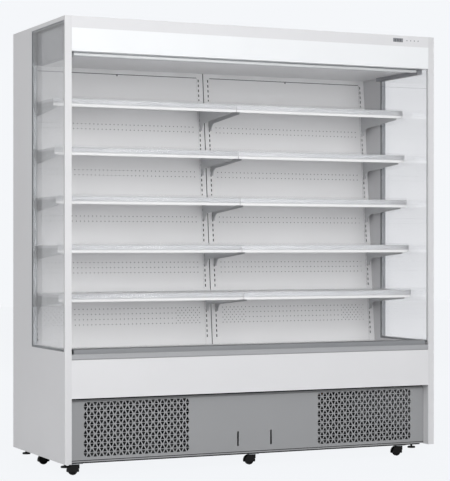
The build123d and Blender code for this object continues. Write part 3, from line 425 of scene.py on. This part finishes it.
def disc(centre, radius):
    """A filled circle in millimetres facing +Y, open for editing."""
    start_clean()
    bpy.ops.mesh.primitive_circle_add(vertices=24, radius=radius * MM, fill_type="NGON",
                                      location=Vector(centre) * MM, rotation=(-math.pi / 2, 0, 0))
    bpy.ops.object.transform_apply(location=True, rotation=True, scale=True)
    bpy.ops.object.mode_set(mode="EDIT")


def turned_outward():
    """Points every face of the piece being edited outwards."""
    bpy.ops.mesh.select_all(action="SELECT")
    bpy.ops.mesh.normals_make_consistent(inside=False)


def eased(radius):
    """Rounds every edge of the piece being edited by a radius in millimetres."""
    bpy.ops.mesh.select_all(action="SELECT")
    bpy.ops.mesh.bevel(offset=radius * MM, segments=2, affect="EDGES")


def traced(points):
    """A line of edges through points in millimetres, drawn from one vertex by extruding it."""
    start_clean()
    bpy.ops.mesh.primitive_plane_add(size=0.001, location=Vector(points[0]) * MM)
    bpy.ops.object.transform_apply(location=True, rotation=True, scale=True)
    bpy.ops.object.mode_set(mode="EDIT")
    bpy.ops.mesh.select_all(action="SELECT")
    bpy.ops.mesh.merge(type="CENTER")
    bpy.ops.mesh.select_mode(type="VERT")
    bpy.ops.mesh.select_all(action="SELECT")
    for before, after in zip(points, points[1:]):
        extrude(*(Vector(after) - Vector(before)))


def filled_bar(points, x, y, z):
    """Closes a traced outline into a face and extrudes it into a bar."""
    traced(points)
    bpy.ops.mesh.select_all(action="SELECT")
    bpy.ops.mesh.edge_face_add()
    extrude(x, y, z)
    turned_outward()


def spun(points, centre, axis, steps, closed=False):
    """Spins a traced outline, which may be closed first, round an axis through a centre in
    millimetres."""
    traced(points)
    bpy.ops.mesh.select_all(action="SELECT")
    if closed:
        bpy.ops.mesh.edge_face_add()
        bpy.ops.mesh.delete(type="ONLY_FACE")
        bpy.ops.mesh.select_all(action="SELECT")
    bpy.ops.mesh.spin(steps=steps, angle=math.tau, center=Vector(centre) * MM, axis=axis)
    bpy.ops.mesh.select_all(action="SELECT")
    bpy.ops.mesh.remove_doubles(threshold=0.00001)
    turned_outward()


def with_modifier(kind, **settings):
    """Adds a modifier to the active piece and applies it."""
    made = bpy.context.active_object.modifiers.new(kind.title(), kind)
    for name, value in settings.items():
        setattr(made, name, value)
    bpy.ops.object.modifier_apply(modifier=made.name)


def piece(name, material, body="cabinet", smooth=30.0):
    """Names the piece being edited, gives it its finish, and lets it ride on a body."""
    if bpy.context.mode != "OBJECT":
        bpy.ops.object.mode_set(mode="OBJECT")
    made = bpy.context.active_object
    made.name = made.data.name = name
    made.data.materials.clear()
    made.data.materials.append(material)
    bpy.ops.object.shade_smooth_by_angle(angle=math.radians(smooth))
    if body:
        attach(made, body)
    return made


def copied(source, name, offset, body="cabinet"):
    """A copy with its own mesh, moved in its mesh by millimetres."""
    made = source.copy()
    made.data = source.data.copy()
    made.name = made.data.name = name
    made.parent = None
    made.matrix_world.identity()
    bpy.context.scene.collection.objects.link(made)
    start_clean()
    made.select_set(True)
    bpy.context.view_layer.objects.active = made
    made.location = Vector(offset) * MM
    bpy.ops.object.transform_apply(location=True, rotation=True, scale=True)
    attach(made, body)
    return made


def joined(name, pieces):
    """Joins like pieces on one body into one."""
    start_clean()
    for part in pieces:
        part.select_set(True)
    bpy.context.view_layer.objects.active = pieces[0]
    bpy.ops.object.join()
    pieces[0].name = pieces[0].data.name = name


def coat(material, *names, round_edges=0.0):
    """Gives CAD nodes a finish, and rounds their folded edges where a radius is given."""
    for name in names:
        node = NODES[name]
        node.data.materials.clear()
        node.data.materials.append(material)
        for face in node.data.polygons:
            face.material_index = 0
        if round_edges:
            weld = node.modifiers.new("Weld", "WELD")
            weld.merge_threshold = 0.00002
            flat = node.modifiers.new("Flat faces", "DECIMATE")
            flat.decimate_type = "DISSOLVE"
            flat.angle_limit = math.radians(0.3)
            edge = node.modifiers.new("Rounded edges", "BEVEL")
            edge.width = round_edges
            edge.segments = 2
            edge.limit_method = "ANGLE"
            edge.angle_limit = math.radians(40)
            edge.harden_normals = True


def line_inside(material, name, test):
    """Gives a node a second finish on the faces that a test of centre and normal is true of,
    with the centre in millimetres."""
    node = NODES[name]
    node.data.materials.append(material)
    for face in node.data.polygons:
        if test(face.center / MM, face.normal):
            face.material_index = 1


# ---------------------------------------------------------------- operators


class FRIDGE_OT_sheet_metal(bpy.types.Operator):
    """Powder coats the cabinet, canopy, deck, back wall, uprights, brackets and shelves"""

    bl_idname = "fridge.sheet_metal"
    bl_label = "Coat the sheet metal"

    def execute(self, context):
        colours, edge = context.scene.fridge_colours, context.scene.fridge_sizes.edge_round
        white = powder_coat("powder_coat_white", colours.white_coat)
        coat(white, "front_panel", "canopy_fascia", round_edges=edge)
        # painted light: the inner copy of the white coat is lighter than the front's, to lift the
        # shade inside
        inner = powder_coat("powder_coat_inner_lightened", colours.inner_coat_lightened)
        coat(inner, "insulated_body", "back_panels", "shelf_uprights", "ceiling_panel")
        coat(inner, "deck_pans", *[f"shelf_{n}" for n in SHELVES], round_edges=edge)
        coat(powder_coat("powder_coat_brackets", linear("#CDCED0")), "shelf_brackets")
        side = powder_coat("powder_coat_side_wall", colours.wall_coat, 0.36)
        coat(side, "side_wall_left", "side_wall_right", round_edges=edge)
        coat(powder_coat("powder_coat_grey", colours.kick_coat, 0.4), "kick_panel")
        coat(powder_coat("powder_coat_return_grille", colours.grille_coat, 0.45),
             "return_air_grille")
        coat(baked_enamel("base_frame_enamel", linear("#161718"), 0.5, gloss=0.2), "base_frame")
        # painted shade: the backs of the sheets, the rear of the air duct and the roof of the
        # machine space get a near-black sheet finish, so that holes and slots look black as in shade
        painted_shade = galvanised_steel("sheet_painted_shade", linear("#202122"))
        duct_y, machine_roof_z = 300, 360
        for name in ("shelf_uprights", "back_panels", "kick_panel"):
            line_inside(painted_shade, name, lambda c, n: n.y > -0.5)
        line_inside(painted_shade, "insulated_body", lambda c, n: n.y < -0.5 and c.y > duct_y
                    or n.z < -0.5 and c.z < machine_roof_z)
        return {"FINISHED"}


class FRIDGE_OT_trim_plastics(bpy.types.Operator):
    """Finishes the bumper, canopy end caps, honeycomb and levelling feet"""

    bl_idname = "fridge.trim_plastics"
    bl_label = "Finish the trim"

    def execute(self, context):
        colours, sizes = context.scene.fridge_colours, context.scene.fridge_sizes
        coat(moulded_plastic("bumper_pvc", colours.bumper_plastic, 0.42), "bumper_rail",
             round_edges=sizes.edge_round)
        coat(moulded_plastic("end_cap_abs", colours.cap_plastic, 0.5), "canopy_end_caps",
             round_edges=sizes.edge_round)
        coat(moulded_plastic("honeycomb_plastic", linear("#D9DBDC"), 0.5), "air_honeycomb")
        coat(moulded_plastic("levelling_foot_nylon", linear("#252628"), 0.5), "levelling_feet")
        return {"FINISHED"}


class FRIDGE_OT_canopy_light(bpy.types.Operator):
    """Lights the canopy's opal front and the lamp behind it"""

    bl_idname = "fridge.canopy_light"
    bl_label = "Light the canopy"

    def execute(self, context):
        colours = context.scene.fridge_colours
        coat(opal_acrylic("opal_acrylic_lit", colours.sign_light), "light_diffuser")
        # only the front face glows, so that no light runs back over the ceiling into the air duct
        line_inside(opal_acrylic("opal_acrylic_back", 0.0), "light_diffuser",
                    lambda c, n: n.y > -0.5)
        coat(lamp_glass("lamp_frosted_cover"), "canopy_lamp")
        return {"FINISHED"}


class FRIDGE_OT_machinery(bpy.types.Operator):
    """Finishes the compressor, coils, fans, pipes and their tray"""

    bl_idname = "fridge.machinery"
    bl_label = "Finish the machinery"

    def execute(self, context):
        zinc = galvanised_steel("galvanised_sheet", linear("#B4B8BB"))
        coat(zinc, "rear_cover", "evaporator_fan_panel")
        # painted shade: the rear cover's inner faces get the near-black sheet, so that its slots
        # look black
        line_inside(bpy.data.materials["sheet_painted_shade"], "rear_cover", lambda c, n: n.y < -0.5)
        # painted shade: the machine floor's zinc is set near black, so that it reads dark through
        # the kick panel's holes
        coat(galvanised_steel("galvanised_sheet_painted_shade", linear("#242526")), "machine_floor")
        black = baked_enamel("compressor_enamel", linear("#1B1C1E"))
        coat(black, "compressor", "condenser_fan_shroud")
        coat(coil_fins("coil_fins", linear("#BFC3C6")), "evaporator_coil")
        coat(coil_fins("coil_fins_black_coated", linear("#17181A")), "condenser_coil")
        coat(copper_tube("copper_tube"), "refrigerant_pipes")
        blades = moulded_plastic("fan_blade_nylon", linear("#2E3033"), 0.4)
        coat(blades, "evaporator_fan_1", "evaporator_fan_2", "condenser_fan")
        coat(moulded_plastic("drip_tray_plastic", linear("#3A3C3F"), 0.45), "drip_tray")
        self.louvre_hoods()
        return {"FINISHED"}

    @staticmethod
    def louvre_hoods():
        """The pressed lips behind the rear cover's slots, which let air out and hide the inside."""
        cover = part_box("rear_cover")[0].y / MM - 0.1
        half_width, count = 31.0, 9
        first_x, pitch_x = 190.0, 78.0
        first_z, pitch_z = 118.0, 24.0
        lip = [(cover, first_z + 5.4), (cover - 8, first_z - 4.6), (cover - 8, first_z - 6.2),
               (cover - 6.8, first_z - 6.2), (cover, first_z + 3.6)]
        for side, hand in ((-1, "left"), (1, "right")):
            filled_bar([(side * first_x - half_width, y, z) for y, z in lip], 2 * half_width, 0, 0)
            bpy.ops.object.mode_set(mode="OBJECT")
            for step in ((side * pitch_x * MM, 0, 0), (0, 0, pitch_z * MM)):
                with_modifier("ARRAY", count=count, use_relative_offset=False,
                              use_constant_offset=True, constant_offset_displace=step)
            # painted shade: the hoods get the near-black sheet, so that the slots look black
            piece(f"rear_louvre_hoods_{hand}", bpy.data.materials["sheet_painted_shade"])


class FRIDGE_OT_side_windows(bpy.types.Operator):
    """Glazes the side walls: clear panes, the spacer bar between them and a seal round each"""

    bl_idname = "fridge.side_windows"
    bl_label = "Glaze the side walls"

    def execute(self, context):
        sizes = context.scene.fridge_sizes
        coat(float_glass("float_glass"), "side_glass")
        seal = moulded_plastic("glazing_seal_grey", linear("#8D8F92"), 0.6)
        bar = brushed_aluminium("spacer_aluminium", linear("#A9ACAF"), 0.45)
        for side, hand in ((-1, "left"), (1, "right")):
            self.border(f"window_seal_outer_{hand}", seal, side, (954.0, 954.8), sizes.gasket_width)
            self.border(f"window_seal_inner_{hand}", seal, side, (923.2, 924.0), sizes.gasket_width)
            self.border(f"window_spacer_{hand}", bar, side, (928.0, 950.0), sizes.spacer_width)
        return {"FINISHED"}

    @staticmethod
    def border(name, finish, side, span, width):
        """A border round the panes, between two distances in millimetres from the middle of
        the case, with its width in metres."""
        low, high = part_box("side_glass")
        inner, outer = span
        middle = Vector((side * inner * MM, (low.y + high.y) / 2, (low.z + high.z) / 2))
        start_clean()
        bpy.ops.mesh.primitive_plane_add(size=1, location=middle, rotation=(0, math.pi / 2, 0))
        bpy.context.active_object.scale = (high.z - low.z, high.y - low.y, 1)
        bpy.ops.object.transform_apply(location=True, rotation=True, scale=True)
        bpy.ops.object.mode_set(mode="EDIT")
        bpy.ops.mesh.select_all(action="SELECT")
        bpy.ops.mesh.inset(thickness=width, depth=0)
        bpy.ops.mesh.delete(type="FACE")
        bpy.ops.mesh.select_all(action="SELECT")
        extrude(side * (outer - inner), 0, 0)
        turned_outward()
        bpy.ops.object.mode_set(mode="OBJECT")
        with_modifier("BEVEL", width=0.0003, segments=2, limit_method="ANGLE")
        piece(name, finish)


class FRIDGE_OT_ticket_rails(bpy.types.Operator):
    """Models the price ticket rail of each shelf bay with its clear strip"""

    bl_idname = "fridge.ticket_rails"
    bl_label = "Make the ticket rails"

    def execute(self, context):
        rise = context.scene.fridge_sizes.clear_strip_rise / MM
        white = moulded_plastic("ticket_rail_pvc", linear("#C9CACC"), 0.35, 0.002)
        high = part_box("ticket_rails")[1]
        inner_end, front, top = 1, -135.0, high.z / MM - rise
        length = high.x / MM - inner_end
        # the rail's section, from the hook over the shelf's edge down to the lip at the foot
        rail = [(front + 10.5, top + 1.4), (front + 2.5, top + 1.4), (front + 1.0, top + 3.8),
                (front, top + 3.4), (front, top + 0.2), (front + 1.1, top - 0.6),
                (front + 1.1, top - 16.4), (front, top - 17.2), (front, top - 20.4),
                (front + 0.8, top - 21.0), (front + 2.5, top - 21.0), (front + 2.5, top),
                (front + 10.5, top)]
        filled_bar([(inner_end, y, z) for y, z in rail], length, 0, 0)
        bpy.ops.object.mode_set(mode="OBJECT")
        with_modifier("BEVEL", width=0.00025, segments=2, limit_method="ANGLE")
        first_rail = piece("ticket_rail_1_right", white)
        # the clear strip's section, up its front from the rail's foot and down its back
        strip = [(front + 0.9, top - 17.0), (front + 0.2, top - 16.2), (front + 0.2, top - 1.0),
                 (front + 1.3, top + 4.2), (front + 1.3, top + rise - 1.0),
                 (front + 1.6, top + rise), (front + 2.1, top + rise),
                 (front + 2.1, top + 4.0), (front + 0.8, top - 1.2), (front + 0.8, top - 16.0)]
        filled_bar([(inner_end, y, z) for y, z in strip], length, 0, 0)
        first_strip = piece("ticket_strip_1_right", clear_plastic("ticket_strip_clear"))
        first_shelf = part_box("shelf_1")
        for level in SHELVES:
            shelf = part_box(f"shelf_{level}")
            lift = shelf[1].z / MM - first_shelf[1].z / MM
            shift = shelf[0].y / MM - first_shelf[0].y / MM
            for hand, slide in (("right", 0.0), ("left", -length - 2 * inner_end)):
                if level == 1 and hand == "right":
                    continue
                copied(first_rail, f"ticket_rail_{level}_{hand}", (slide, shift, lift))
                copied(first_strip, f"ticket_strip_{level}_{hand}", (slide, shift, lift))
        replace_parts(first_rail, "ticket_rails")
        return {"FINISHED"}


class FRIDGE_OT_casters(bpy.types.Operator):
    """Models the casters' tyres and hubs, and finishes their forks and plates"""

    bl_idname = "fridge.casters"
    bl_label = "Make the casters' wheels"

    def execute(self, context):
        round_by = context.scene.fridge_sizes.wheel_shoulder / MM
        rubber = tyre_rubber("tyre_rubber")
        nylon = moulded_plastic("wheel_hub_nylon", linear("#101011"), 0.5, gloss=0.2)
        fork = baked_enamel("caster_black_zinc", linear("#0E0E0F"), 0.5, gloss=0.2)
        coat(fork, *[f"caster_fork_{n}" for n in CASTERS])
        coat(zinc_fittings("caster_plate_zinc", linear("#A8ABAE")), "caster_plates")
        low, high = (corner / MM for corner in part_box("caster_wheel_1"))
        centre = (low + high) / 2
        radius, half = (high.z - low.z) / 2, (high.y - low.y) / 2
        # each section's right half, as width from the wheel's middle and radius
        tyre = [(half - 0.8, radius - 7), (half, radius - 7), (half, radius - round_by),
                (half - 0.3 * round_by, radius - 0.3 * round_by), (half - round_by, radius)]
        hub = [(half - 0.8, radius - 7), (half - 1.6, radius - 8), (half - 3.2, radius - 8.6),
               (half - 3.2, 8.5), (half - 0.2, 7.6), (half, 7.0), (half, 4.2)]
        made = []
        for name, section, finish in (("tyre", tyre, rubber), ("hub", hub, nylon)):
            whole = section + [(-w, r) for w, r in reversed(section)]
            spun([(centre.x, centre.y + w, centre.z + r) for w, r in whole], centre, (0, 1, 0),
                 steps=48, closed=True)
            made.append(piece(f"caster_{name}_1", finish, "caster_wheel_1", 35.0))
        for number in CASTERS[1:]:
            wheel = f"caster_wheel_{number}"
            shift = (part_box(wheel)[0] - low * MM) / MM
            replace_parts(copied(made[0], f"caster_tyre_{number}", shift, wheel), wheel)
            copied(made[1], f"caster_hub_{number}", shift, wheel)
        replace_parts(made[0], "caster_wheel_1")
        return {"FINISHED"}


class FRIDGE_OT_controller(bpy.types.Operator):
    """Models the digits of the temperature display, and finishes its buttons"""

    bl_idname = "fridge.controller"
    bl_label = "Make the display"

    def execute(self, context):
        coat(moulded_plastic("display_smoked_abs", linear("#8A8C90"), 0.25), "controller_display")
        coat(moulded_plastic("button_silicone", linear("#8E9095"), 0.5),
             *[f"control_button_{n}" for n in BUTTONS])
        dark = moulded_plastic("display_segments", linear("#2C2E31"), 0.2)
        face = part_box("controller_display")[0].y / MM
        first_x, digit_pitch, foot_z = 733.0, 14.0, 2020.5
        wide, tall, thick, cut = 8.0, 13.0, 1.9, 0.8
        strokes = ((0, 0, wide, thick), (0, (tall - thick) / 2, wide, (tall + thick) / 2),
                   (0, tall - thick, wide, tall), (0, cut, thick, tall - cut),
                   (wide - thick, cut, wide, tall - cut))
        bars = []
        for x in (first_x + digit * digit_pitch for digit in range(3)):
            for left, foot, right, head in strokes:
                block((x + left, face - 0.02, foot_z + foot), (x + right, face + 0.2, foot_z + head))
                eased(0.3)
                bars.append(piece(f"display_bar_{len(bars)}", dark))
        joined("display_segments", bars)
        return {"FINISHED"}


class FRIDGE_OT_night_blind(bpy.types.Operator):
    """Makes the night blind: hanging cloth, wound roll, pull bar and cassette"""

    bl_idname = "fridge.night_blind"
    bl_label = "Make the night blind"

    def execute(self, context):
        edge = context.scene.fridge_sizes.edge_round
        coat(brushed_aluminium("blind_aluminium", linear("#C4C7CA")), "blind_cassette",
             round_edges=edge)
        coat(brushed_aluminium("pull_bar_aluminium", linear("#F4F5F6"), 0.6), "night_blind_bar",
             round_edges=edge)
        weave = blind_weave("blind_weave", context.scene.fridge_colours.cloth_thread)
        low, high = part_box("night_blind_cloth")
        half = high.x / MM
        self.hanging_cloth(weave, half, (low.y + high.y) / 2 / MM, high.z / MM, low.z / MM)
        low, high = (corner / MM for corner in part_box("night_blind_roller"))
        axis = (0, (low.y + high.y) / 2, (low.z + high.z) / 2)
        core, outer = 13.0, (high.z - low.z) / 2 - 0.3
        self.wound_cloth(weave, half, axis, core, outer)
        self.roller_tube(half, axis, core, high.x)
        return {"FINISHED"}

    def hanging_cloth(self, weave, half, y, top, foot):
        """The cloth between roller and pull bar, which is drawn out as the bar goes down."""
        traced([(-half, y, top), (-half, y, (top + foot) / 2), (-half, y, foot)])
        bpy.ops.mesh.select_all(action="SELECT")
        columns = 12
        for _ in range(columns):
            extrude(2 * half / columns, 0, 0)
        cloth = self.woven(weave, "blind_cloth_hanging", None, half)
        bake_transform(cloth)
        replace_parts(cloth, "night_blind_cloth")

    def wound_cloth(self, weave, half, axis, core, outer):
        """The rest of the cloth: a spiral round the tube, its turns 0.7 mm apart."""
        pitch, steps = 0.7, 36
        turns = (outer - core) / pitch
        spiral = []
        for n in range(int(turns * steps) + 1):
            angle, radius = math.tau * n / steps, core + pitch * n / steps
            spiral.append((-half, axis[1] - radius * math.cos(angle),
                           axis[2] + radius * math.sin(angle)))
        traced(spiral)
        bpy.ops.mesh.select_all(action="SELECT")
        extrude(2 * half, 0, 0)
        cloth = self.woven(weave, "blind_cloth_wound", "night_blind_roller", half)

    @staticmethod
    def roller_tube(half, axis, core, end):
        """The roller's steel tube, with a stepped plug and a pin at each end."""
        right = [(half, core - 0.4), (half + 2, core - 1.4), (half + 4, 9.0), (half + 10, 8.0),
                 (half + 10, 4.0), (end - 1, 4.0), (end, 3.4), (end, 0.0)]
        whole = [(-x, r) for x, r in reversed(right)] + right
        spun([(x, axis[1], axis[2] + r) for x, r in whole], axis, (1, 0, 0), steps=32)
        steel = zinc_fittings("roller_tube_zinc", linear("#B0B3B6"))
        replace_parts(piece("roller_tube", steel, "night_blind_roller"), "night_blind_roller")

    @staticmethod
    def woven(weave, name, body, half):
        """Gives the cloth being edited its weave map in metres, and a thin thickness."""
        bpy.ops.object.mode_set(mode="OBJECT")
        made = bpy.context.active_object
        layer = made.data.uv_layers.new(name="cloth")
        heights = {}
        rows = sorted({(round(v.co.y, 6), round(v.co.z, 6)): v.index
                       for v in made.data.vertices if v.co.x < -half * MM + 1e-6}.values())
        travelled = 0.0
        for before, after in zip([rows[0], *rows], rows):
            a, b = made.data.vertices[before].co, made.data.vertices[after].co
            travelled += (b - a).length
            heights[(round(b.y, 6), round(b.z, 6))] = travelled
        for corner in made.data.loops:
            v = made.data.vertices[corner.vertex_index].co
            layer.data[corner.index].uv = (v.x, heights[(round(v.y, 6), round(v.z, 6))])
        with_modifier("SOLIDIFY", thickness=0.0004, offset=0.0)
        return piece(name, weave, body, 60.0)


class FRIDGE_OT_clips_and_screws(bpy.types.Operator):
    """Adds the wall clips, painted shadow strips on the back wall and kick panel, and rear screws"""

    bl_idname = "fridge.clips_and_screws"
    bl_label = "Add the clips and screws"

    def execute(self, context):
        self.wall_clips()
        self.cover_strip_shadow_lines()
        self.kick_shadow_strips()
        self.rear_cover_screws(context.scene.fridge_sizes.screw_head / MM / 2)
        return {"FINISHED"}

    @staticmethod
    def wall_front(z):
        """The depth of the leaning back wall's front face at a height, in millimetres."""
        foot_y, foot_z, lean = 150.3, 541.5, math.radians(5)
        return foot_y + (z - foot_z) * math.tan(lean)

    def wall_clips(self):
        """Two small clips with a dished face, high on the back wall."""
        plastic = moulded_plastic("wall_clip_abs", linear("#5C5E61"), 0.5)
        y = self.wall_front(1866)
        clips = []
        for x in (-461, 461):
            block((x - 2.5, y - 2.0, 1859), (x + 2.5, y + 0.8, 1868))
            pick_faces(lambda c, n: n.y < -0.9)
            bpy.ops.mesh.inset(thickness=0.0008)
            extrude(0, 0.8, 0)
            clips.append(piece(f"wall_clip_{len(clips) + 1}", plastic))
        joined("wall_clips", clips)

    def cover_strip_shadow_lines(self):
        """A dark strip of painted shadow along the head of each back panel, under the cover strip,
        where the shadow gap falls.
        """
        # painted shadow: a dark strip for the shade line under the cover strip
        seal = moulded_plastic("cover_strip_painted_shadow", linear("#4A4B4D"), 0.6)
        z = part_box("back_panels")[1].z / MM
        y = self.wall_front(z)
        for hand, x0, x1 in (("left", -889.0, -36.0), ("right", 36.0, 889.0)):
            block((x0, y + 0.2, z - 3.0), (x1, y + 0.9, z - 0.2))
            eased(0.2)
            piece(f"cover_strip_painted_shadow_{hand}", seal)

    @staticmethod
    def kick_shadow_strips():
        """Dark strips of painted shadow along the leaning head and above the foot of the kick panel,
        where shade falls under the front panel and at the foot.
        """
        # painted shadow: near-black strips that stand for the shade under the front panel and at the
        # foot
        shadow_dark = moulded_plastic("kick_painted_shadow", linear("#1E1F20"), 0.8, gloss=0.2)
        low, high = (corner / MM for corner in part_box("kick_panel"))
        half, face = high.x - 0.5, low.y
        # the head leans back from head_z, by set_back over a rise
        head_z, rise, set_back = 328.0, 22.0, 14.0
        out = Vector((-rise, set_back)).normalized()
        start, end = (Vector((face + set_back * (z - head_z) / rise, z)) for z in (337.0, 347.0))
        leaning = [start + out * 0.1, end + out * 0.1, end + out * 0.9, start + out * 0.9]
        upright = [(face - 0.05, 64.0), (face - 0.05, 67.0), (face - 0.5, 67.0), (face - 0.5, 64.0)]
        for name, section in (("kick_head_painted_shadow", leaning), ("kick_foot_painted_shadow", upright)):
            filled_bar([(-half, *point) for point in section], 2 * half, 0, 0)
            eased(0.1)
            piece(name, shadow_dark)

    @staticmethod
    def rear_cover_screws(radius):
        """The rear cover's ten screws, each with a raised rim round a recess."""
        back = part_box("rear_cover")[1].y / MM
        first, *others = [(x, z) for x in (-905, -460, 0, 460, 905) for z in (78, 334)]
        disc((first[0], back - 0.63, first[1]), radius)
        bpy.ops.mesh.select_all(action="SELECT")
        extrude(0, 0.5, 0)
        bpy.ops.mesh.inset(thickness=radius * 0.35 * MM)
        extrude(0, 0.12, 0)
        bpy.ops.mesh.inset(thickness=radius * 0.3 * MM)
        extrude(0, -0.4, 0)
        turned_outward()
        screws = [piece("rear_cover_screw_1", zinc_fittings("screw_zinc", linear("#9FA2A5")))]
        for x, z in others:
            screws.append(copied(screws[0], f"rear_cover_screw_{len(screws) + 1}",
                                 (x - first[0], 0, z - first[1])))
        joined("rear_cover_screws", screws)


class FRIDGE_OT_stage(bpy.types.Operator):
    """Sets the floor, the soft lights and the camera at the photograph's angle"""

    bl_idname = "fridge.stage"
    bl_label = "Set the stage"

    def execute(self, context):
        backdrop = solid("#F5F7FA")
        self.floor(backdrop)
        self.studio(context.scene, backdrop)
        self.softboxes()
        self.photo_camera(context.scene)
        context.scene.view_settings.view_transform = "Standard"
        return {"FINISHED"}

    def floor(self, backdrop):
        """A paper floor that the lamps light, and that looks nearly as bright as the backdrop."""
        start_clean()
        bpy.ops.mesh.primitive_grid_add(x_subdivisions=8, y_subdivisions=8, size=40)
        floor = bpy.context.active_object
        floor.name = floor.data.name = "studio_floor"
        material, tree, shader, place = new_finish("floor_paper")
        set_surface(shader, Roughness=0.9)
        tinted(tree, shader, mottle(tree, place, 0.5), solid("#E9EAEC"), solid("#EEEFF1"))
        textured(tree, shader, mottle(tree, place, 0.004), 0.0001)
        glow = add_node(tree, "ShaderNodeEmission", {"Color": backdrop, "Strength": 1.0})
        share = add_node(tree, "ShaderNodeMath", {0: self.seen_rays(tree), 1: 0.97},
                         operation="MULTIPLY")
        mixed = add_node(tree, "ShaderNodeMixShader",
                         {0: share.outputs[0], 1: shader.outputs[0], 2: glow.outputs[0]})
        surface = next(n for n in tree.nodes if n.type == "OUTPUT_MATERIAL").inputs["Surface"]
        tree.links.new(mixed.outputs[0], surface)
        floor.data.materials.append(material)

    def studio(self, scene, backdrop):
        """A dim white studio all round, which shows as the bright backdrop where it is seen."""
        world = bpy.data.worlds.new("studio")
        scene.world = world
        world.use_nodes = True
        tree = world.node_tree
        tree.nodes.clear()
        lit = add_node(tree, "ShaderNodeBackground", {"Color": (1, 1, 1, 1), "Strength": 0.28})
        shown = add_node(tree, "ShaderNodeBackground", {"Color": backdrop, "Strength": 1.0})
        mixed = add_node(tree, "ShaderNodeMixShader",
                         {0: self.seen_rays(tree), 1: lit.outputs[0], 2: shown.outputs[0]})
        add_node(tree, "ShaderNodeOutputWorld", {"Surface": mixed.outputs[0]})

    @staticmethod
    def seen_rays(tree):
        """1 where the backdrop is looked at, straight or through glass. What mirrors in the
        coats and panes is the dimmer studio."""
        path = add_node(tree, "ShaderNodeLightPath").outputs
        return add_node(tree, "ShaderNodeMath",
                        {0: path["Is Camera Ray"], 1: path["Is Transmission Ray"]},
                        operation="MAXIMUM").outputs[0]

    @staticmethod
    def softboxes():
        """Three square softboxes, each with its place, target and size in metres, and watts."""
        for name, place, target, size, power in (
                ("front_softbox", (0.2, -6.2, 2.4), (0, 0, 0.9), 4.0, 222),
                ("left_softbox", (-5.5, -1.4, 2.4), (0, 0, 1.0), 3.0, 114),
                ("back_softbox", (2.0, 5.5, 3.5), (0, 0, 1.0), 3.0, 120)):
            bpy.ops.object.light_add(type="AREA", location=place)
            lamp = bpy.context.active_object
            lamp.name = lamp.data.name = name
            lamp.data.size, lamp.data.energy = size, power
            aim = Vector(target) - Vector(place)
            lamp.rotation_euler = aim.to_track_quat("-Z", "Y").to_euler()

    @staticmethod
    def photo_camera(scene):
        """A level camera with a long lens, from the left, as it was fitted to the photograph."""
        focal_px, shift_px, picture_px, sensor_mm = 1682.07, 6.26, 481, 36
        bpy.ops.object.camera_add(location=(-3.4388, -7.4352, 1.0234),
                                  rotation=(math.radians(90), 0, math.radians(-24.817)))
        camera = bpy.context.active_object
        camera.name = camera.data.name = "photo_camera"
        camera.data.lens = focal_px * sensor_mm / picture_px
        camera.data.shift_y = shift_px / picture_px
        camera.data.clip_end = 100
        scene.camera = camera


STEPS = (FRIDGE_OT_sheet_metal, FRIDGE_OT_trim_plastics, FRIDGE_OT_canopy_light,
         FRIDGE_OT_machinery, FRIDGE_OT_side_windows, FRIDGE_OT_ticket_rails,
         FRIDGE_OT_casters, FRIDGE_OT_controller, FRIDGE_OT_night_blind,
         FRIDGE_OT_clips_and_screws, FRIDGE_OT_stage)


class FRIDGE_PT_display_fridge(bpy.types.Panel):
    """Lists the steps that dress the fridge"""

    bl_idname = "FRIDGE_PT_display_fridge"
    bl_label = "Display fridge"
    bl_space_type = "VIEW_3D"
    bl_region_type = "UI"
    bl_category = "Display fridge"

    def draw(self, context):
        for group in (context.scene.fridge_colours, context.scene.fridge_sizes):
            for name in group.bl_rna.properties.keys():
                if name not in ("rna_type", "name"):
                    self.layout.prop(group, name)
        for step in STEPS:
            self.layout.operator(step.bl_idname)


CLASSES = (FridgeColours, FridgeSizes, *STEPS, FRIDGE_PT_display_fridge)


def register():
    for made in CLASSES:
        bpy.utils.register_class(made)
    bpy.types.Scene.fridge_colours = bpy.props.PointerProperty(type=FridgeColours)
    bpy.types.Scene.fridge_sizes = bpy.props.PointerProperty(type=FridgeSizes)


def unregister():
    del bpy.types.Scene.fridge_colours
    del bpy.types.Scene.fridge_sizes
    for made in reversed(CLASSES):
        bpy.utils.unregister_class(made)


def main():
    """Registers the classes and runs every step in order."""
    register()
    for step in STEPS:
        group, name = step.bl_idname.split(".")
        getattr(getattr(bpy.ops, group), name)()


if __name__ == "__main__":
    main()
